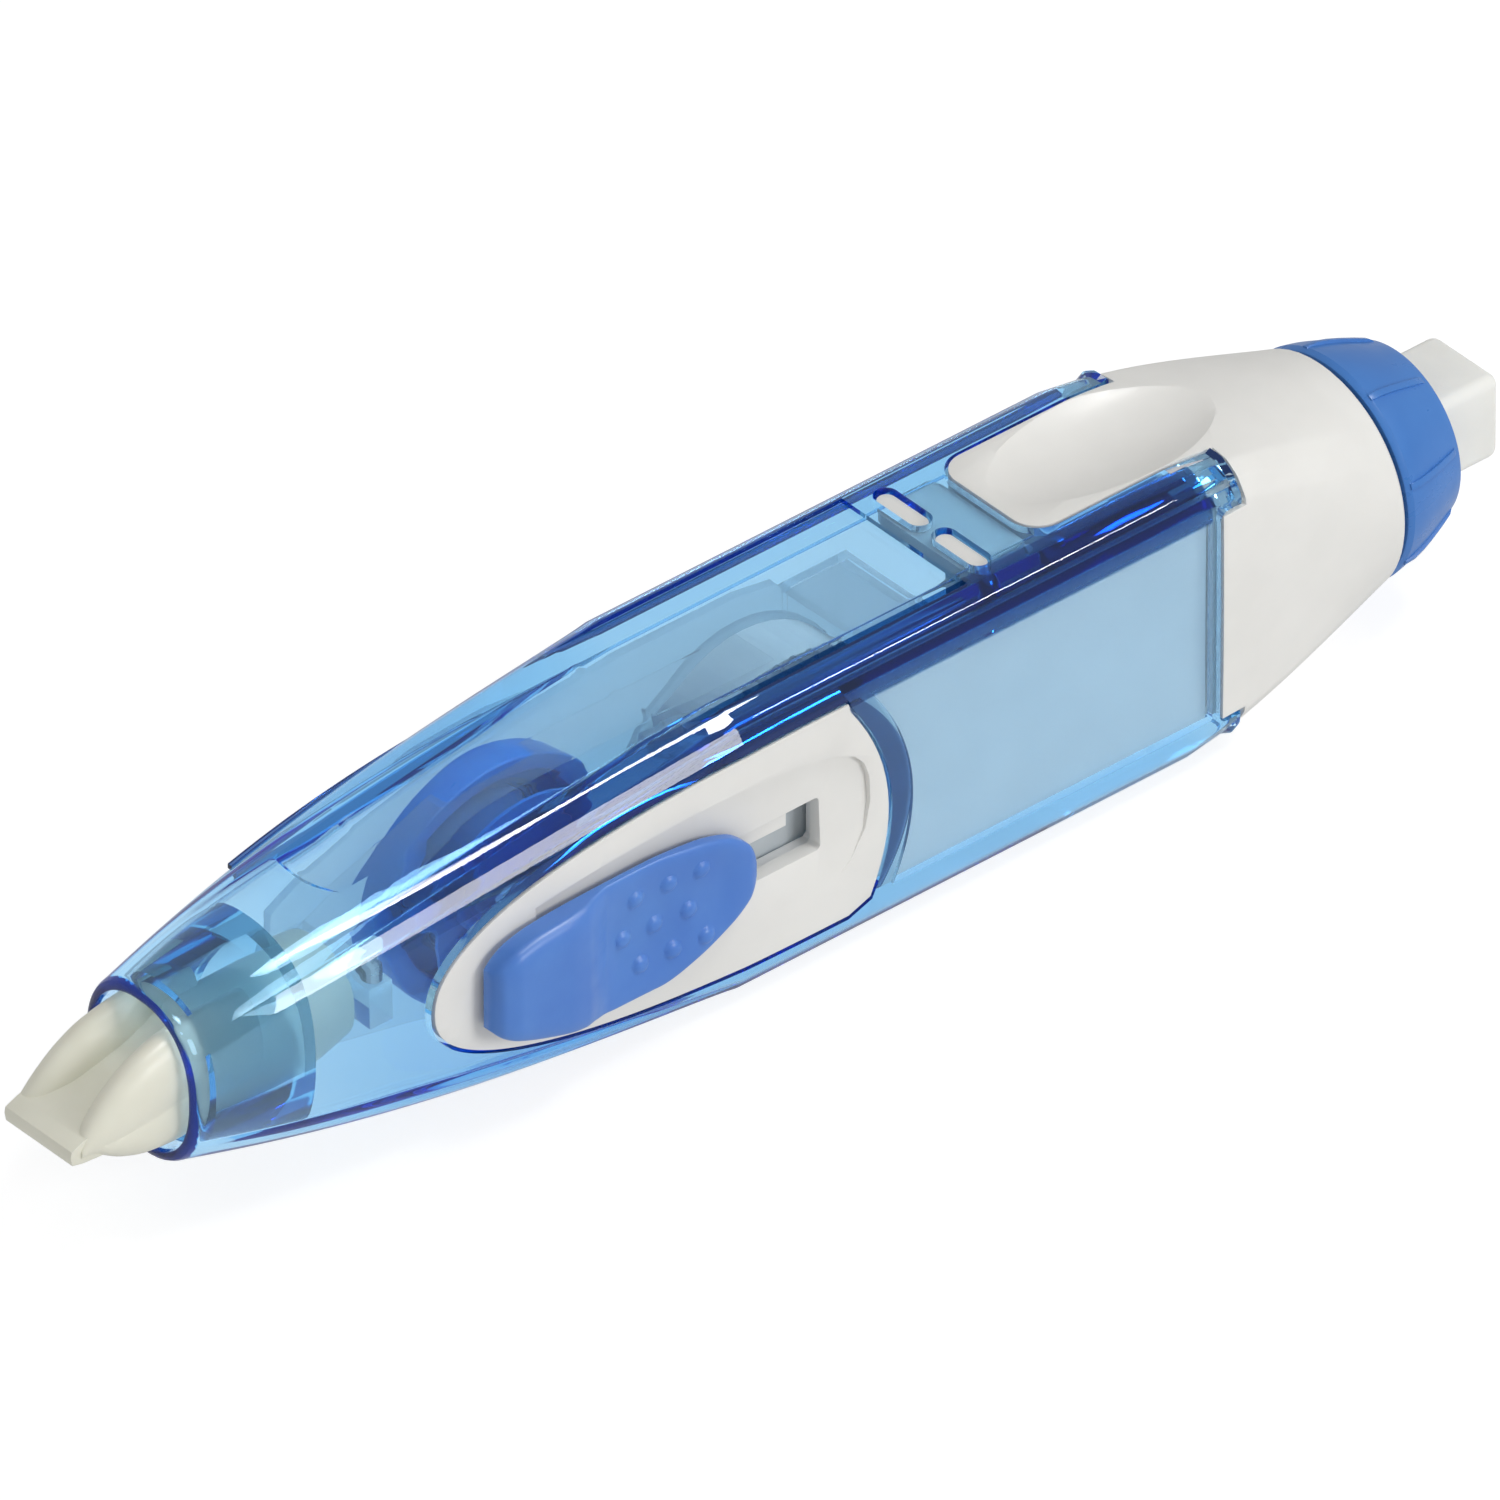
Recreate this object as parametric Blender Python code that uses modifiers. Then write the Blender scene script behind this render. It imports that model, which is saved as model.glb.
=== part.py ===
"""A pen-shaped correction tape roller with a twist-out eraser in its tail.

The design is drawn in millimetres on the body's own axis: x runs from the nose tip (0) to the tail,
the slide button is on the -y side, and z is measured from the axis. The finished meshes are in metres,
with the origin on the flat underside, where the roller lies on a table.
"""

import math

import bmesh
import bpy
from mathutils import Matrix, Vector

MM = 0.001

# Driving dimensions, in millimetres
BODY_HALF_WIDTH = 9.5
BODY_HALF_HEIGHT = 12.8
FLAT_START = 60.0  # the section is constant from here
FLAT_END = 104.0  # to here
REST_X = 75.0  # the row's origin along the body
RIM_X = 9.7
COVER_END = 108.6
COVER_WALL = 1.3
NOSE_WALL = 0.9
HOUSING_END = 124.5
TAIL_RADIUS = 9.6
GAP = 0.3

PANEL_START = 30.5
PANEL_NOSE_LENGTH = 39.5
PANEL_REAR = 73.8
PANEL_REAR_BOW = 0.034  # per mm, of the rear edge's parabola
PANEL_REAR_SLANT = 0.109
PANEL_HALF_HEIGHT = 9.6
PANEL_BACK = 8.1
TRACK_FLOOR = 9.0
BUTTON_BASE = 9.7
CHASSIS_END = 105.9
SLOT_START = 49.6
SLOT_END = 67.4
SLOT_HALF = 2.3

SUPPLY_X = 70.0
TAKEUP_X = 44.5
MODULE = 0.5
SUPPLY_TEETH = 38
IDLER_TEETH = 19
TAKEUP_TEETH = 26
GEAR_LAYER = (-3.95, -3.0)
IDLER_X = TAKEUP_X + MODULE * (TAKEUP_TEETH + IDLER_TEETH) / 2
TAPE_HALF = 2.5
ROLL_RADIUS = 9.3
SPENT_RADIUS = 6.9
REEL_FLANGE_RADIUS = 8.7

SADDLE_HALF = 5.5
SADDLE_FRONT = 91.4
LATCH_X = 86.3
LATCH_OFFSET = 3.3
LATCH_PIVOT = (91.2, 0.0, 10.75)

KNOB_START = 124.9
KNOB_END = 131.9
ERASER_HALF = 3.75
ERASER_END = 138.1
ERASER_START = 104.3
SPIRAL_LEAD = 8.0
LUG_X = 102.5
SLEEVE_RADII = (5.85, 6.6)
GUIDE_RADII = (5.1, 5.6)


# Scene, materials and mesh helpers


def clear_scene():
    for obj in list(bpy.data.objects):
        bpy.data.objects.remove(obj, do_unlink=True)


def new_collection(name, hidden=False):
    collection = bpy.data.collections.new(name)
    bpy.context.scene.collection.children.link(collection)
    collection.hide_render = hidden
    return collection


def new_material(name, color, roughness, metallic=0.0, clear=0.0):
    material = bpy.data.materials.new(name)
    material.use_nodes = True
    shader = material.node_tree.nodes["Principled BSDF"]
    shader.inputs["Base Color"].default_value = (*color, 1.0)
    shader.inputs["Roughness"].default_value = roughness
    shader.inputs["Metallic"].default_value = metallic
    shader.inputs["Transmission Weight"].default_value = clear
    return material


def row_point(x, y, z):
    """A design point, in millimetres on the body's axis, as a point of the finished model in metres."""
    return Vector((x - REST_X, y, z + BODY_HALF_HEIGHT)) * MM


def add_piece(name, bm, material=None, pivot=None):
    """An object from a mesh drawn in millimetres. One with no material is a cutter."""
    bmesh.ops.recalc_face_normals(bm, faces=bm.faces)
    origin = row_point(*pivot) if pivot else Vector()
    to_row = Matrix.Translation(row_point(0, 0, 0) - origin) @ Matrix.Scale(MM, 4)
    bm.transform(to_row)
    mesh = bpy.data.meshes.new(name)
    bm.to_mesh(mesh)
    bm.free()
    obj = bpy.data.objects.new(name, mesh)
    obj.location = origin
    if material:
        mesh.materials.append(material)
        mesh.shade_smooth()
        mesh.set_sharp_from_angle(angle=math.radians(35))
        PARTS.objects.link(obj)
    else:
        obj.hide_render = True
        obj.display_type = "WIRE"
        CUTTERS.objects.link(obj)
    return obj


def combine(obj, operation, *others):
    for other in others:
        modifier = obj.modifiers.new(f"{operation.lower()}_{other.name}", "BOOLEAN")
        modifier.operation = operation
        modifier.solver = "EXACT"
        modifier.object = other
    return obj


def round_edges(obj, width, segments=2, angle=40):
    modifier = obj.modifiers.new("round_edges", "BEVEL")
    modifier.width = width * MM
    modifier.segments = segments
    modifier.limit_method = "ANGLE"
    modifier.angle_limit = math.radians(angle)
    return obj


def box(low, high, bm=None):
    """A box between two corners, added to bm if one is given."""
    bm = bm or bmesh.new()
    size = [b - a for a, b in zip(low, high)]
    middle = [(a + b) / 2 for a, b in zip(low, high)]
    matrix = Matrix.Translation(middle) @ Matrix.Diagonal((*size, 1.0))
    bmesh.ops.create_cube(bm, size=1.0, matrix=matrix)
    return bm


PLANES = {
    "XY": Matrix.Identity(4),
    "XZ": Matrix.Rotation(math.pi / 2, 4, "X"),
    "YZ": Matrix(((0, 0, 1, 0), (1, 0, 0, 0), (0, 1, 0, 0), (0, 0, 0, 1))),
}


def evaluated_bmesh(obj):
    """The mesh that a curve or a modifier makes, with the object itself removed."""
    graph = bpy.context.evaluated_depsgraph_get()
    mesh = bpy.data.meshes.new_from_object(obj.evaluated_get(graph), depsgraph=graph)
    bm = bmesh.new()
    bm.from_mesh(mesh)
    bm.transform(obj.matrix_world)
    bpy.data.objects.remove(obj, do_unlink=True)
    bpy.data.meshes.remove(mesh)
    bmesh.ops.remove_doubles(bm, verts=bm.verts, dist=1e-4)
    return bm


def slab(loops, plane, low, high):
    """Flat outlines, the first the outside and the rest holes, extruded from low to high."""
    curve = bpy.data.curves.new("outline", "CURVE")
    curve.dimensions = "2D"
    curve.fill_mode = "BOTH"
    curve.extrude = abs(high - low) / 2
    for loop in loops:
        spline = curve.splines.new("POLY")
        spline.points.add(len(loop) - 1)
        for point, (u, v) in zip(spline.points, loop):
            point.co = (u, v, 0.0, 1.0)
        spline.use_cyclic_u = True
    obj = bpy.data.objects.new("outline", curve)
    bpy.context.scene.collection.objects.link(obj)
    bpy.context.view_layer.update()
    bm = evaluated_bmesh(obj)
    bm.transform(PLANES[plane])
    normal = {"XY": 2, "XZ": 1, "YZ": 0}[plane]
    shift = Vector()
    shift[normal] = (low + high) / 2
    bm.transform(Matrix.Translation(shift))
    return bm


def turned(profile, steps=32, axis="X", centre=(0.0, 0.0)):
    """A profile of (radius, along) points turned about an axis. Closed unless it starts and ends on it."""
    mesh = bpy.data.meshes.new("profile")
    count = len(profile)
    solid = profile[0][0] == 0 and profile[-1][0] == 0
    edges = [(i, (i + 1) % count) for i in range(count - 1 if solid else count)]
    mesh.from_pydata([(r, 0.0, along) for r, along in profile], edges, [])
    obj = bpy.data.objects.new("profile", mesh)
    bpy.context.scene.collection.objects.link(obj)
    screw = obj.modifiers.new("turn", "SCREW")
    screw.steps = steps
    screw.render_steps = steps
    screw.use_merge_vertices = True
    screw.merge_threshold = 1e-4
    bpy.context.view_layer.update()
    bm = evaluated_bmesh(obj)
    if axis == "X":
        bm.transform(Matrix.Rotation(math.pi / 2, 4, "Y"))
        bm.transform(Matrix.Translation((0.0, centre[0], centre[1])))
    else:
        bm.transform(Matrix.Rotation(-math.pi / 2, 4, "X"))
        bm.transform(Matrix.Translation((centre[0], 0.0, centre[1])))
    return bm


def ring(outer, inner, low, high, steps=32, axis="Y", centre=(0.0, 0.0)):
    return turned([(outer, high), (outer, low), (inner, low), (inner, high)], steps, axis, centre)


def post(radius, low, high, steps=20, axis="Y", centre=(0.0, 0.0)):
    return turned([(0.0, high), (radius, high), (radius, low), (0.0, low)], steps, axis, centre)


def rounded_outline(x0, x1, y0, y1, radius, steps=5):
    """A rectangle with round corners, as one loop."""
    loop = []
    corners = ((x1, y1, 0), (x0, y1, 90), (x0, y0, 180), (x1, y0, 270))
    for x, y, start in corners:
        cx = x - radius if x == x1 else x + radius
        cy = y - radius if y == y1 else y + radius
        for i in range(steps + 1):
            angle = math.radians(start + 90 * i / steps)
            loop.append((cx + radius * math.cos(angle), cy + radius * math.sin(angle)))
    return loop


def circle(x, z, radius, steps=28):
    angles = [2 * math.pi * i / steps for i in range(steps)]
    return [(x + radius * math.cos(a), z + radius * math.sin(a)) for a in angles]


# The body's section


def half_width(x):
    """Half the body's width: the nose narrows to an oval mouth, the tail ends on a circle."""
    nose = max(0.0, (FLAT_START - x) / 50)
    tail = max(0.0, (x - FLAT_END) / (HOUSING_END - FLAT_END))
    return BODY_HALF_WIDTH - 3.2 * nose**3.2 + (TAIL_RADIUS - BODY_HALF_WIDTH) * tail


def half_height(x):
    nose = max(0.0, (FLAT_START - x) / 50)
    tail = max(0.0, (x - FLAT_END) / (HOUSING_END - FLAT_END))
    return BODY_HALF_HEIGHT - 5.6 * nose**2.35 - (BODY_HALF_HEIGHT - TAIL_RADIUS) * tail**1.9


def oval_share(x):
    """How far the faceted section has melted into an oval: 0 in the middle, 1 at either end."""
    nose = max(0.0, (FLAT_START - x) / 50)
    tail = max(0.0, (x - FLAT_END) / (HOUSING_END - FLAT_END))
    return min(1.0, nose**0.8 + tail**1.3)


OVAL_ANGLES = (90, 76, 62, 49, 40, 31, 20, 10, 0)
# A corner's two facets: where the top ends, the ridge's place in y and z, and where the side starts
SHARP_CORNER = (2.3, 1.0, 0.8, 2.35)
THICK_CORNER = (3.0, 1.5, 1.05, 2.1)


def body_ring(x, inset_y=0.0, inset_z=None, corner=SHARP_CORNER):
    """The section at x, shrunk by the insets, as (y, z) points round the axis from the top."""
    a = half_width(x) - inset_y
    b = half_height(x) - (inset_y if inset_z is None else inset_z)
    share = oval_share(x)
    power = 2 / (2.0 if x > FLAT_END else 2.3)
    top_end, ridge_y, ridge_z, side_start = corner
    top = a - top_end
    side = b - side_start
    faceted = [(top * i / 3, b) for i in range(4)] + [(a - ridge_y, b - ridge_z)]
    faceted += [(a, side * (3 - i) / 3) for i in range(4)]
    quarter = []
    for (y, z), degrees in zip(faceted, OVAL_ANGLES):
        angle = math.radians(degrees)
        oval_y = a * max(0.0, math.cos(angle)) ** power if degrees < 90 else 0.0
        oval_z = b * max(0.0, math.sin(angle)) ** power
        quarter.append((y + (oval_y - y) * share, z + (oval_z - z) * share))
    back = quarter[-2::-1]
    right = quarter + [(y, -z) for y, z in back]
    left = [(-y, z) for y, z in right[-2:0:-1]]
    return right + left


def loft(rings):
    """A closed solid through rings of (x, points), all with the same number of points."""
    bm = bmesh.new()
    loops = [[bm.verts.new((x, y, z)) for y, z in points] for x, points in rings]
    join_loops(bm, loops)
    bmesh.ops.triangulate(bm, faces=bm.faces)
    bm.faces.new(loops[0])
    bm.faces.new(loops[-1])
    return bm


def join_loops(bm, loops):
    for first, second in zip(loops, loops[1:]):
        count = len(first)
        for i in range(count):
            j = (i + 1) % count
            bm.faces.new((first[i], first[j], second[j], second[i]))


def sleeve(outer, inner):
    """A tube between outer and inner rings."""
    bm = bmesh.new()
    rings = outer + inner[::-1]
    loops = [[bm.verts.new((x, y, z)) for y, z in points] for x, points in rings]
    join_loops(bm, loops + loops[:1])
    bmesh.ops.triangulate(bm, faces=bm.faces)
    return bm


def body_solid(stations, inset_y=0.0, inset_z=None):
    return loft([(x, body_ring(x, inset_y, inset_z)) for x in stations])


# The translucent front cover

NOSE_STATIONS = (13.0, 17.0, 22.0, 28.0, 35.0, 43.0, 51.0, 60.0)


def cover_wall(x):
    return NOSE_WALL + (COVER_WALL - NOSE_WALL) * min(1.0, max(0.0, (x - 18) / 12))


def panel_outline(grow=0.0, steps=11):
    """The slide panel: a teardrop pointing to the nose, with a bowed rear edge."""
    start = PANEL_START - grow
    tall = PANEL_HALF_HEIGHT + grow
    length = PANEL_NOSE_LENGTH + grow
    upper = []
    for i in range(steps + 1):
        share = (i / steps) ** 1.7
        z = tall * (1 - (1 - share) ** 2.6) ** 0.45
        upper.append((start + share * length, z))
    rear = []
    for z in (0.75 * tall, 0.4 * tall, 0.0, -0.4 * tall, -0.75 * tall):
        x = PANEL_REAR + grow - PANEL_REAR_BOW * z * z - PANEL_REAR_SLANT * z
        rear.append((x, z))
    lower = [(x, -z) for x, z in upper[:0:-1]]
    return upper + rear + [(start + length + 1.9, -tall)] + lower


def make_cover():
    rim = [(RIM_X, body_ring(10.2, 0.5)), (RIM_X + 0.25, body_ring(10.2, 0.12))]
    rim.append((RIM_X + 0.8, body_ring(10.5)))
    outer = rim + [(x, body_ring(x)) for x in NOSE_STATIONS]
    outer += [(COVER_END - 0.3, body_ring(FLAT_START)), (COVER_END, body_ring(FLAT_START, 0.3))]
    inner = [(RIM_X, body_ring(10.2, 0.7)), (RIM_X + 0.7, body_ring(10.4, NOSE_WALL))]
    inner += [(x, body_ring(x, cover_wall(x), corner=THICK_CORNER)) for x in NOSE_STATIONS]
    inner.append((COVER_END, body_ring(FLAT_START, COVER_WALL, corner=THICK_CORNER)))
    cover = add_piece("outer_cover", sleeve(outer, inner), CLEAR_BLUE)
    opening = add_piece("cut_panel_opening", slab([panel_outline(0.35)], "XZ", -12, -6.6))
    combine(cover, "DIFFERENCE", opening)
    for side in (-1, 1):
        y = side * LATCH_OFFSET
        loop = rounded_outline(LATCH_X - 1.0, LATCH_X + 1.0, y - 2.85, y + 2.85, 0.99)
        combine(cover, "DIFFERENCE", add_piece(f"cut_latch_slot_{side}", slab([loop], "XY", 10.5, 14)))
    for side in (-1, 1):
        edge = SADDLE_HALF + GAP
        loop = rounded_outline(SADDLE_FRONT - GAP, COVER_END + 6, -edge, edge, 2.6)
        levels = (9, 15) if side > 0 else (-15, -9)
        combine(cover, "DIFFERENCE", add_piece(f"cut_saddle_bay_{side}", slab([loop], "XY", *levels)))
    loop = rounded_outline(106.3, COVER_END + 5, -9.6, 9.6, 0.8)
    combine(cover, "DIFFERENCE", add_piece("cut_cover_end", slab([loop], "XZ", -12, 12)))


def make_nose_collar():
    stations = (12.0, 15.5, 19.4)
    outer = [(x, body_ring(x, 1.15)) for x in stations]
    inner = [(x, body_ring(x, 1.75)) for x in stations]
    add_piece("nose_collar", sleeve(outer, inner), CLEAR_BLUE)


# The white pieces fixed to the cover


def make_slide_panel():
    blank = add_piece("slide_panel", slab([panel_outline()], "XZ", -12, -PANEL_BACK), WHITE)
    skin = body_solid((24.0, 28.0, 31.0, 35.0, 39.0, 43.0, 51.0, 60.0, 80.0))
    combine(blank, "INTERSECT", add_piece("cut_body_skin", skin))
    upper = [(48.0, 4.6), (57.0, 4.5), (62.0, 4.1), (66.0, 3.5)]
    upper += [(69.0, 2.8), (71.2, 1.7), (72.3, 0.5)]
    track = upper + [(x, -z) for x, z in upper[::-1]]
    combine(blank, "DIFFERENCE", add_piece("cut_track", slab([track], "XZ", -12, -TRACK_FLOOR)))
    slot = rounded_outline(SLOT_START, SLOT_END, -SLOT_HALF, SLOT_HALF, 0.3, 1)
    combine(blank, "DIFFERENCE", add_piece("cut_slot", slab([slot], "XZ", -12, -6)))


def make_side_chassis():
    upper = [(43.0, 3.4), (50.0, 6.4), (57.0, 8.8), (62.0, 9.4), (CHASSIS_END, 9.4)]
    loop = upper + [(x, -z) for x, z in upper[::-1]]
    slot = rounded_outline(SLOT_START - GAP, SLOT_END + 0.6, -2.6, 2.6, 0.3, 1)
    add_piece("side_chassis", slab([loop, slot], "XZ", -7.85, -7.0), WHITE)


def saddle_side_loop(side, steps=6):
    """The space beside the saddle: the saddle's front corner is round."""
    radius = 2.3
    x, y = SADDLE_FRONT + radius, SADDLE_HALF - radius
    loop = [(SADDLE_FRONT - 1, side * y)]
    for i in range(steps + 1):
        angle = math.pi - math.pi / 2 * i / steps
        loop.append((x + radius * math.cos(angle), side * (y + radius * math.sin(angle))))
    return loop + [(106.6, side * SADDLE_HALF), (106.6, side * 13), (SADDLE_FRONT - 1, side * 13)]


def make_rear_housing():
    """The white tail shell. Its saddle fills the bays in the cover, and its neck goes inside it."""
    stations = (SADDLE_FRONT, FLAT_END, 106.9, 109.4, 112.0, 115.0, 118.0, 120.5, 122.7, HOUSING_END)
    housing = add_piece("rear_housing", body_solid(stations), WHITE)
    corners = bmesh.new()
    for y in (-1, 1):
        beside = slab([saddle_side_loop(y)], "XY", -15, 15)
        combine(housing, "DIFFERENCE", add_piece(f"cut_beside_saddle_{y}", beside))
        for z in (-1, 1):
            low = (105, min(y * SADDLE_HALF, y * 14), min(z * 9.2, z * 16))
            high = (COVER_END + GAP, max(y * SADDLE_HALF, y * 14), max(z * 9.2, z * 16))
            box(low, high, corners)
    combine(housing, "DIFFERENCE", add_piece("cut_arm_notches", corners))
    neck = body_solid((SADDLE_FRONT + 0.05, 103.0, 110.5), 1.75)
    combine(housing, "UNION", add_piece("add_neck", neck))
    hollow = [(x, body_ring(x, 2.5, 3.2)) for x in (90.0, 107.3, 110.0)]
    hollow += [(x, body_ring(x, 1.5)) for x in (116.0, 120.0, 122.5, HOUSING_END + 1)]
    combine(housing, "DIFFERENCE", add_piece("cut_housing_hollow", loft(hollow)))
    window = box((SADDLE_FRONT - 2, -8.5, -9.7), (CHASSIS_END + GAP, -6.7, 9.7))
    combine(housing, "DIFFERENCE", add_piece("cut_chassis_window", window))
    dish = bmesh.new()
    middle = Matrix.Translation((102.0, 0, BODY_HALF_HEIGHT + 1.2))
    matrix = middle @ Matrix.Diagonal((12.0, 6.3, 3.0, 1.0))
    bmesh.ops.create_uvsphere(dish, u_segments=24, v_segments=16, radius=1.0, matrix=matrix)
    combine(housing, "DIFFERENCE", add_piece("cut_thumb_dish", dish))


def make_latch_tongue():
    loop = rounded_outline(85.2, 91.1, -5.3, 5.3, 0.8, 2)
    tongue = add_piece("latch_tongue", slab([loop], "XY", 10.3, 11.2), WHITE, LATCH_PIVOT)
    for side in (-1, 1):
        y = side * LATCH_OFFSET
        loop = rounded_outline(LATCH_X - 0.75, LATCH_X + 0.75, y - 2.55, y + 2.55, 0.74)
        combine(tongue, "UNION", add_piece(f"add_latch_tab_{side}", slab([loop], "XY", 10.8, 12.4)))


def make_bearing_ring():
    add_piece("knob_bearing_ring", ring(7.8, 6.9, 119.8, 124.1, 28, "X"), WHITE)


def make_eraser_guide():
    plate = body_solid((93.4, 94.4), 2.8, 3.5)
    guide = add_piece("eraser_guide", plate, GREY)
    inner, outer = GUIDE_RADII
    combine(guide, "UNION", add_piece("add_guide_tube", post(outer, 93.9, 122.3, 24, "X")))
    combine(guide, "DIFFERENCE", add_piece("cut_guide_bore", post(inner, 90, 126, 24, "X")))
    combine(guide, "DIFFERENCE", add_piece("cut_guide_slot", box((95.7, -0.65, 3.5), (119.4, 0.65, 7.0))))


# The twist knob and the eraser


def make_knob():
    profile = [(7.0, KNOB_END), (7.25, KNOB_END - 0.15), (7.6, KNOB_END - 0.9), (8.6, 128.6)]
    profile += [(9.3, 126.4), (9.5, KNOB_START + 0.3), (9.4, KNOB_START), (6.85, KNOB_START)]
    profile += [(6.85, 129.3), (5.2, 129.3), (5.2, KNOB_END)]
    knob = add_piece("twist_knob", turned(profile, 48, "X"), BLUE, (KNOB_START, 0, 0))
    ridges = bmesh.new()
    crest = [(125.3, 9.0), (125.3, 9.62), (126.4, 9.55), (128.6, 8.86)]
    crest += [(131.0, 7.86), (131.4, 7.5), (129.0, 7.6)]
    for k in range(8):
        blank = slab([crest], "XZ", -0.28, 0.28)
        blank.transform(Matrix.Rotation(math.radians(27.5 + 45 * k), 4, "X"))
        mesh = bpy.data.meshes.new("ridge")
        blank.to_mesh(mesh)
        blank.free()
        ridges.from_mesh(mesh)
        bpy.data.meshes.remove(mesh)
    combine(knob, "UNION", add_piece("add_knob_ridges", ridges))


def make_spiral_sleeve():
    """The knob's inner sleeve. Its spiral slot drives the eraser carrier's lug along the guide."""
    inner, outer = SLEEVE_RADII
    pivot = (KNOB_START, 0, 0)
    tube = add_piece("spiral_sleeve", ring(outer, inner, 94.9, 129.0, 32, "X"), GREY, pivot)
    curve = bpy.data.curves.new("spiral", "CURVE")
    curve.dimensions = "3D"
    curve.bevel_depth = 1.0
    curve.bevel_resolution = 0
    curve.use_fill_caps = True
    spline = curve.splines.new("POLY")
    start, end = LUG_X - 6.7, LUG_X + 16.7
    count = int((end - start) / SPIRAL_LEAD * 16)
    spline.points.add(count)
    radius = (inner + outer) / 2
    for i, point in enumerate(spline.points):
        x = start + (end - start) * i / count
        angle = math.pi / 2 - 2 * math.pi * (x - LUG_X) / SPIRAL_LEAD
        point.co = (x, radius * math.cos(angle), radius * math.sin(angle), 1.0)
    obj = bpy.data.objects.new("spiral", curve)
    bpy.context.scene.collection.objects.link(obj)
    bpy.context.view_layer.update()
    combine(tube, "DIFFERENCE", add_piece("cut_spiral_slot", evaluated_bmesh(obj)))


def make_eraser_carrier():
    profile = [(0.0, 108.0), (1.1, 108.0), (1.1, 104.0), (4.8, 104.0), (4.8, 101.0), (0.0, 101.0)]
    carrier = add_piece("eraser_carrier", turned(profile, 28, "X"), GREY, (LUG_X, 0, 0))
    lug = bmesh.new()
    matrix = Matrix.Translation((LUG_X, 0, 5.1))
    bmesh.ops.create_cone(lug, cap_ends=True, segments=12, radius1=0.4, radius2=0.4, depth=2.6, matrix=matrix)
    combine(carrier, "UNION", add_piece("add_carrier_lug", lug))


def make_eraser():
    half = ERASER_HALF
    block = box((ERASER_START, -half, -half), (ERASER_END, half, half))
    eraser = add_piece("eraser_block", block, RUBBER_WHITE, (ERASER_START, 0, 0))
    round_edges(eraser, 1.0, 3)
    combine(eraser, "DIFFERENCE", add_piece("cut_eraser_socket", post(1.45, 100, 108.4, 20, "X")))


# The cartridge


def gear_outline(x, teeth, bore, phase):
    """Trapezoid teeth with room to turn, round the point (x, 0)."""
    pitch = MODULE * teeth / 2
    root = pitch - 0.62
    tip = pitch + 0.4
    loop = []
    for i in range(teeth):
        middle = 2 * math.pi * (i + phase) / teeth
        step = 2 * math.pi / teeth
        for share, radius in ((-0.30, root), (-0.11, tip), (0.11, tip), (0.30, root)):
            angle = middle + share * step
            loop.append((x + radius * math.cos(angle), radius * math.sin(angle)))
    return [loop, circle(x, 0, bore, 24)]


def make_cartridge_frame():
    """The clear far plate with its axle posts, a nose block and the boxed tail."""
    upper = [(27.0, 3.0), (31.0, 5.2), (36.0, 7.4), (42.0, 9.2), (49.0, 9.7)]
    upper += [(72.0, 9.7), (75.8, 9.1), (76.9, 7.7)]
    loop = upper + [(x, -z) for x, z in upper[::-1]]
    frame = add_piece("cartridge_frame", slab([loop], "XZ", 5.4, 6.2), CLEAR)
    outside = [(-6.15, 8.2), (-5.3, 9.1), (5.3, 9.1), (6.15, 8.2)]
    outside += [(y, -z) for y, z in outside[::-1]]
    inside = [(-5.45, 7.9), (-5.0, 8.3), (5.0, 8.3), (5.45, 7.9)]
    inside += [(y, -z) for y, z in inside[::-1]]
    tail = add_piece("add_boxed_tail", slab([outside, inside], "YZ", 76.3, 82.5))
    wall = add_piece("add_tail_wall", box((81.7, -5.8, -8.1), (82.5, 5.8, 8.1)))
    nose = add_piece("add_nose_block", box((28.0, -4.3, -2.4), (30.2, 5.8, 1.0)))
    posts = [
        add_piece("add_supply_post", post(1.9, -4.2, 5.8, 20, "Y", (SUPPLY_X, 0))),
        add_piece("add_takeup_post", post(1.4, -4.2, 5.8, 16, "Y", (TAKEUP_X, 0))),
        add_piece("add_idler_post", post(0.9, -4.2, 5.8, 12, "Y", (IDLER_X, 0))),
    ]
    combine(frame, "UNION", tail, wall, nose, *posts)


def make_cartridge_lid():
    upper = [(38.0, 2.2), (41.0, 3.8), (55.0, 3.8), (55.0, 9.7), (58.0, 9.7)]
    upper += [(59.5, 3.8), (73.0, 3.8), (76.0, 2.2)]
    loop = upper + [(76.0, -2.2), (73.0, -3.8), (41.0, -3.8), (38.0, -2.2)]
    add_piece("cartridge_lid", slab([loop], "XZ", -5.2, -4.5), CLEAR)


def make_backstop_pawl():
    loop = [(55.4, 9.5), (55.4, 8.7), (58.2, 8.7), (61.6, 7.55), (63.35, 7.75), (62.0, 8.5), (58.6, 9.5)]
    add_piece("backstop_pawl", slab([loop], "XZ", -4.2, -2.9), CLEAR)


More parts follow.
